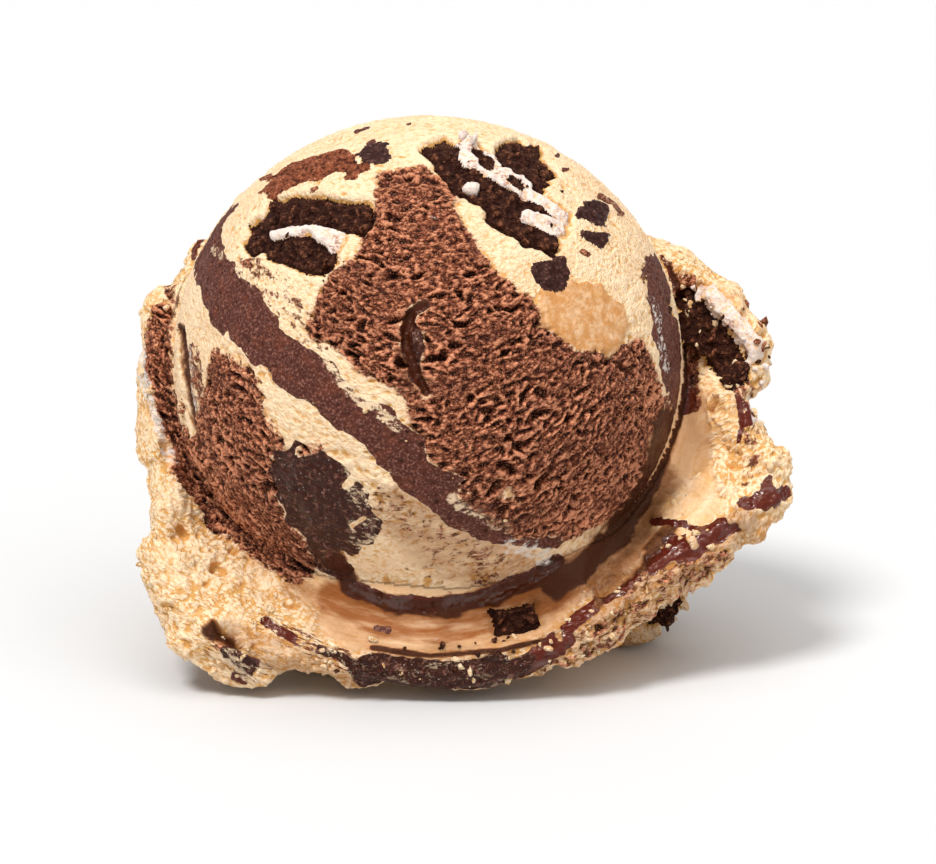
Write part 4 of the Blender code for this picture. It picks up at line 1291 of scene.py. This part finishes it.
def crumb_material(name, grain, tones, size, roughness, bump, coat=0.0):
    """Dry crumb in three tones, from its pits darkened as painted shade to the grains that stand out
    lightened as painted highlight, and a tone laid where the brown strokes reach, which carry melted
    chocolate and painted shade.
    """
    deep, main, light, brown_stroke_tone = tones
    material, graph, shader = new_material(
        name, Specular_IOR_Level=0.2, Coat_Roughness=0.2, Coat_Weight=coat,
        Specular_Tint=rgba(WARM_GLEAM))
    crumb = place_group(graph, grain, Vector=graph.place(), Size=size)
    grain_tone = graph.times(graph.math("SUBTRACT", crumb["Height"], 0.62), 0.8)
    stands = graph.plus(graph.attribute("pit"), grain_tone)
    # Lighter on the grains that stand out and darker in the pits: painted highlight and painted shade
    tone = graph.tint(rgba(main), light, stands, -0.05, 0.45)
    tone = graph.tint(tone, deep, stands, -0.02, -0.35, 0.0, 0.9)
    # Laid where the brown strokes reach: melted chocolate, and painted shade of the creases
    tone = graph.tint(tone, brown_stroke_tone, graph.attribute("brown"), 0.2, 0.6)
    graph.put(shader.inputs["Base Color"], tone)
    graph.put(shader.inputs["Roughness"], graph.range(crumb["Gap"], 0.0, 1.0, roughness, roughness + 0.15))
    add_bump(graph, shader, crumb["Height"], bump)
    return material


def mottle_toffee(material, colours):
    """Pale frosted patches and darker clouds in the toffee."""
    graph = Graph(material.node_tree)
    place = graph.place()
    pale = graph.noise(place, 1.7 * MM, 5.0, 0.7)
    dark = graph.noise(place, 2.4 * MM, 5.0, 0.7)
    tone = graph.tint(rgba(colours.toffee), colours.golden, pale, 0.42, 0.68, 0.0, 0.50)
    tone = graph.tint(tone, colours.golden_deep, dark, 0.52, 0.70, 0.0, 0.45)
    graph.put(material.node_tree.nodes["Principled BSDF"].inputs["Base Color"], tone)


def dust_cream(material, colours):
    """Lays brown cookie dust over the white filling."""
    graph = Graph(material.node_tree)
    place = graph.place()
    patches = graph.range(graph.noise(place, 2.0 * MM, 3.0), 0.50, 0.62)
    dust = graph.range(graph.noise(place, 0.55 * MM, 3.0, 0.7), 0.47, 0.58, 0.0, 0.75)
    colour_socket = material.node_tree.nodes["Principled BSDF"].inputs["Base Color"]
    clean = colour_socket.links[0].from_socket
    dusty = graph.blend(graph.times(patches, dust), clean, rgba(colours.cookie_light))
    graph.put(colour_socket, dusty)


# Operators


def dress(label, material, node, name=None):
    """Gives a part of the skin its material, and lets it stand for its solid."""
    piece = bpy.data.objects.get("skin_" + label)
    if piece is None:
        raise RuntimeError("no skin was left for " + label)
    piece.name = piece.data.name = name or label + "_skin"
    piece.data.materials.append(material)
    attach(piece, BODY)
    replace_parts(piece, node)


def dress_all(finish, material):
    """Dresses every piece of one finish."""
    for node in frame["nodes"]:
        if finish_of(node) == finish:
            dress(node, material, node)


class SCOOP_OT_skin(bpy.types.Operator):
    """Fuses the solids into one skin, roughens it and parts it"""

    bl_idname = "scoop.skin"
    bl_label = "Skin"

    def execute(self, context):
        shape = context.scene.scoop_shape
        skin = fused_skin(shape)
        points = read_vectors(skin.data.vertices, "co")
        normals = read_vectors(skin.data.vertices, "normal")
        owner_of = solid_at(points, shape)
        seen, places = ragged_places(points, normals, shape, (1.5 * MM, 0.9 * MM), (32, 33))
        grow_pieces(owner_of, seen, places)
        carve(skin, owner_of, shape)
        part_skin(skin, owner_of, shape)
        return {"FINISHED"}


class SCOOP_OT_ice_cream(bpy.types.Operator):
    """Finishes the golden and the chocolate ice cream"""

    bl_idname = "scoop.ice_cream"
    bl_label = "Ice creams"

    def execute(self, context):
        marbling = marbling_group(context.scene.scoop_colours, grain_group())
        golden = ice_cream_material("Golden ice cream", marbling, 0.34 * MM, PLAIN_GLEAM)
        chocolate = ice_cream_material("Chocolate ice cream", marbling, 0.42 * MM, WARM_GLEAM)
        for label in GOLDEN_PARTS:
            dress(label, golden, "golden_ice_cream", label)
        dress_all("chocolate", chocolate)
        return {"FINISHED"}


class SCOOP_OT_fudge(bpy.types.Operator):
    """Finishes the fudge ribbon, the pool and the veins"""

    bl_idname = "scoop.fudge"
    bl_label = "Fudge"

    def execute(self, context):
        marbling = bpy.data.node_groups["Marbling"]
        fudge = ice_cream_material("Fudge", marbling, 0.26 * MM, WARM_GLEAM)
        dress_all("fudge", fudge)
        dress_all("pool", fudge)
        return {"FINISHED"}


class SCOOP_OT_cookies(bpy.types.Operator):
    """Finishes the cookie wafers and their white filling"""

    bl_idname = "scoop.cookies"
    bl_label = "Cookies"

    def execute(self, context):
        colours = context.scene.scoop_colours
        grain = bpy.data.node_groups["Grain"]
        tones = (colours.chocolate_deep, colours.cookie, colours.cookie_light, colours.cookie)
        wafer = crumb_material("Cookie", grain, tones, 0.55 * MM, 0.6, 0.70 * MM)
        tones = (colours.smear, colours.cream, colours.frost, colours.cookie_light)
        cream = crumb_material("Cookie cream", grain, tones, 0.45 * MM, 0.55, 0.15 * MM)
        dust_cream(cream, colours)
        dress_all("cookie", wafer)
        dress_all("cream", cream)
        return {"FINISHED"}


class SCOOP_OT_mixed_in(bpy.types.Operator):
    """Finishes the toffee piece, the reddish flake and the dark chips"""

    bl_idname = "scoop.mixed_in"
    bl_label = "Toffee, flake and chips"

    def execute(self, context):
        colours = context.scene.scoop_colours
        grain = bpy.data.node_groups["Grain"]
        tones = (colours.golden_deep, colours.toffee, colours.golden, colours.smear)
        toffee = crumb_material("Toffee", grain, tones, 0.5 * MM, 0.4, 0.10 * MM, 0.1)
        mottle_toffee(toffee, colours)
        tones = (colours.chocolate_deep, colours.flake, colours.chocolate_light, colours.stain_and_shade)
        flake = crumb_material("Flake", grain, tones, 0.5 * MM, 0.5, 0.30 * MM)
        tones = (colours.chocolate_deep, colours.chip, colours.fudge_light, colours.stain_and_shade)
        chip = crumb_material("Chip", grain, tones, 0.45 * MM, 0.35, 0.16 * MM)
        dress_all("toffee", toffee)
        dress_all("flake", flake)
        dress_all("chip", chip)
        return {"FINISHED"}


# Loose crumbs: finish, how many, their size, half width of the strip in pixels, and its path
CRUMBS = (
    ("golden", 8, 0.45 * MM, 15, ((330, 664), (400, 680), (500, 676), (560, 650))),
    ("golden", 6, 0.45 * MM, 12, ((262, 620), (330, 655))),
    ("golden", 9, 0.45 * MM, 12, ((520, 655), (600, 610), (680, 560), (740, 530))),
    ("golden", 8, 0.55 * MM, 14, ((224, 650), (262, 676))),
    ("golden", 12, 0.50 * MM, 12, ((680, 270), (700, 290), (690, 330), (712, 385))),
    ("golden", 16, 0.34 * MM, 7, ((330, 366), (372, 410), (430, 450), (500, 520))),
    ("cookie", 24, 0.50 * MM, 12, ((690, 300), (740, 350), (764, 352))),
    ("cookie", 30, 0.40 * MM, 16, ((350, 662), (430, 660), (520, 650))),
    ("cookie", 14, 0.35 * MM, 18, ((260, 240), (330, 270))),
    ("cookie", 14, 0.35 * MM, 18, ((450, 160), (540, 180), (560, 240))),
    ("chocolate", 9, 0.75 * MM, 7, ((742, 300), (766, 344))),
    ("cream", 12, 0.50 * MM, 9, ((700, 290), (760, 360), (756, 384))),
    ("cream", 5, 0.90 * MM, 4, ((462, 136), (472, 143))),
    ("cream", 2, 0.90 * MM, 2, ((471, 190), (473, 190))),
    ("chocolate", 40, 0.40 * MM, 9, ((430, 190), (350, 280), (330, 345))),
    ("chocolate", 24, 0.40 * MM, 8, ((196, 350), (182, 440), (230, 540))),
)
COLLAR_CRUMBS = 420
COLLAR_CRUMB_SIZE = 0.60 * MM
CRUMB_SEED = 7

# Crumbs vary in size and in shape, lie in the skin and rise a little out of it; their pit value gives them
# the painted highlight of grains that stand out
CRUMB_SIZES = (0.5, 2.0)
CRUMB_STRETCH = (0.5, 1.5)
CRUMB_JITTER = 0.42
CRUMB_RISE = 0.05
CRUMB_LIFT = 0.12
CRUMB_LOWEST = 2 * MM

# The material of each kind of crumb, and a slot name that is not used
CRUMB_FINISHES = {
    "golden": ("Golden ice cream", "golden_ice_cream"),
    "cookie": ("Cookie", "cookie"),
    "cream": ("Cookie cream", "cookie_cream"),
    "chocolate": ("Chocolate ice cream", "chocolate_ice_cream"),
}


def add_crumb(bm, place, normal, size, rng):
    """One angular crumb, half sunk into the skin."""
    size *= rng.uniform(*CRUMB_SIZES)
    made = bmesh.ops.create_icosphere(bm, subdivisions=1, radius=size / 2)
    stretch = rng.uniform(*CRUMB_STRETCH, 3)
    turn = Vector(rng.normal(size=3)).to_track_quat("Z", "Y")
    for vert in made["verts"]:
        jitter = 1 + rng.uniform(-CRUMB_JITTER, CRUMB_JITTER)
        vert.co = turn @ Vector([c * k * jitter for c, k in zip(vert.co, stretch)])
        vert.co += Vector(place) + Vector(normal) * (size * CRUMB_RISE)


class SCOOP_OT_crumbs(bpy.types.Operator):
    """Scatters loose crumbs over the collar and round the torn borders"""

    bl_idname = "scoop.crumbs"
    bl_label = "Crumbs"

    def execute(self, context):
        shape = context.scene.scoop_shape
        rng = np.random.default_rng(CRUMB_SEED)
        skins = [obj.data for obj in bpy.data.objects if obj.get("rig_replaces") and obj.type == "MESH"]
        points, normals = (np.concatenate([read_vectors(mesh.vertices, kind) for mesh in skins])
                           for kind in ("co", "normal"))
        seen, across, down = seen_points(points, normals, shape)
        heaps = {kind: bmesh.new() for kind in CRUMB_FINISHES}
        for kind, count, size, width, path in CRUMBS:
            near = seen[from_path(across, down, path) < width]
            for at in rng.choice(near, min(count, len(near)), replace=False):
                add_crumb(heaps[kind], points[at], normals[at], size, rng)
        torn = np.flatnonzero((on_dome(points, shape) < 0.1) & (points[:, 2] > CRUMB_LOWEST))
        torn = torn[smeared(points[torn], shape) < 0.1]
        for at in rng.choice(torn, COLLAR_CRUMBS, replace=False):
            add_crumb(heaps["golden"], points[at], normals[at], COLLAR_CRUMB_SIZE, rng)
        for kind, (material, slot) in CRUMB_FINISHES.items():
            crumbs = object_from(kind + "_crumbs", heaps[kind])
            mesh = crumbs.data
            # A pit value above zero colours the crumbs like raised grain: painted highlight
            constant = {"cocoa": float(kind == "chocolate"), "torn": 1.0, "pit": CRUMB_LIFT}
            for name, value in constant.items():
                write_attribute(mesh, name, np.full(len(mesh.vertices), value))
            write_attribute(mesh, "flow", read_vectors(mesh.vertices, "co"))
            mesh.shade_smooth()
            mesh.materials.append(bpy.data.materials[material])
            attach(crumbs, BODY)
        return {"FINISHED"}


# The stage: each light's name, where it comes from, its strength and how wide it is in degrees
FLOOR_RADIUS = 6.0
NEAREST_SEEN = 0.01
LIGHTS = (
    ("key", (-0.42, -0.52, 1.12), 2.5, 17),
    ("fill", (0.9, -0.8, 0.6), 0.45, 60),
    ("top", (0.15, -0.15, 1.0), 1.35, 60),
)
AMBIENT = 0.40
WHITE = (1, 1, 1, 1)


class SCOOP_OT_stage(bpy.types.Operator):
    """Sets up the floor, the soft lights and the camera"""

    bl_idname = "scoop.stage"
    bl_label = "Stage"

    def execute(self, context):
        scene = context.scene
        self.lay_floor(scene)
        self.place_camera(scene)
        for name, towards, strength, width in LIGHTS:
            light = bpy.data.lights.new(name, "SUN")
            light.energy = strength
            light.angle = math.radians(width)
            lamp = bpy.data.objects.new(name, light)
            lamp.rotation_euler = Vector(towards).to_track_quat("Z", "Y").to_euler()
            scene.collection.objects.link(lamp)
        self.light_world(scene)
        scene.view_settings.view_transform = "Standard"
        return {"FINISHED"}

    def lay_floor(self, scene):
        bm = bmesh.new()
        bmesh.ops.create_circle(bm, cap_ends=True, radius=FLOOR_RADIUS, segments=64)
        floor = object_from("floor", bm)
        material, graph, shader = new_material("Floor", Roughness=0.6)
        shader.inputs["Base Color"].default_value = rgba(scene.scoop_colours.floor)
        floor.data.materials.append(material)

    def place_camera(self, scene):
        place, target = camera_places(scene.scoop_shape)
        lens = bpy.data.cameras.new("camera")
        lens.sensor_width = SENSOR
        lens.lens = SENSOR * scene.scoop_shape.camera_distance * PIXELS_PER_METRE / PHOTO_WIDTH
        lens.clip_start = NEAREST_SEEN
        camera = bpy.data.objects.new("camera", lens)
        camera.location = place
        camera.rotation_euler = (target - place).to_track_quat("-Z", "Y").to_euler()
        scene.collection.objects.link(camera)
        scene.camera = camera

    def light_world(self, scene):
        """A dim white surrounding for the scoop, which the camera itself sees as plain white."""
        world = bpy.data.worlds.new("studio")
        world.use_nodes = True
        scene.world = world
        graph = Graph(world.node_tree)
        ambient = world.node_tree.nodes["Background"]
        ambient.inputs["Color"].default_value = WHITE
        ambient.inputs["Strength"].default_value = AMBIENT
        backdrop = graph.node("ShaderNodeBackground", Color=WHITE, Strength=1.0)
        seen = graph.node("ShaderNodeLightPath").outputs["Is Camera Ray"]
        either = graph.node("ShaderNodeMixShader", Fac=seen)
        graph.put(either.inputs[1], ambient.outputs[0])
        graph.put(either.inputs[2], backdrop.outputs[0])
        graph.put(world.node_tree.nodes["World Output"].inputs["Surface"], either.outputs[0])


class SCOOP_PT_panel(bpy.types.Panel):
    """Sizes, colours and steps of the scoop"""

    bl_idname = "SCOOP_PT_panel"
    bl_label = "Ice cream scoop"
    bl_space_type = "VIEW_3D"
    bl_region_type = "UI"
    bl_category = "Scoop"

    def draw(self, context):
        for group in (context.scene.scoop_shape, context.scene.scoop_colours):
            box = self.layout.box()
            for name in group.__annotations__:
                box.prop(group, name)
        for step in STEPS:
            self.layout.operator(step.bl_idname)


STEPS = (
    SCOOP_OT_skin,
    SCOOP_OT_ice_cream,
    SCOOP_OT_fudge,
    SCOOP_OT_cookies,
    SCOOP_OT_mixed_in,
    SCOOP_OT_crumbs,
    SCOOP_OT_stage,
)
CLASSES = (ScoopShape, ScoopColours) + STEPS + (SCOOP_PT_panel,)


def register():
    for cls in CLASSES:
        bpy.utils.register_class(cls)
    bpy.types.Scene.scoop_shape = bpy.props.PointerProperty(type=ScoopShape)
    bpy.types.Scene.scoop_colours = bpy.props.PointerProperty(type=ScoopColours)


def unregister():
    del bpy.types.Scene.scoop_colours
    del bpy.types.Scene.scoop_shape
    for cls in reversed(CLASSES):
        bpy.utils.unregister_class(cls)


def main():
    register()
    for step in STEPS:
        family, name = step.bl_idname.split(".")
        result = getattr(getattr(bpy.ops, family), name)()
        if result != {"FINISHED"}:
            raise RuntimeError(step.bl_idname + " didn't finish")
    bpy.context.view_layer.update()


if __name__ == "__main__":
    main()
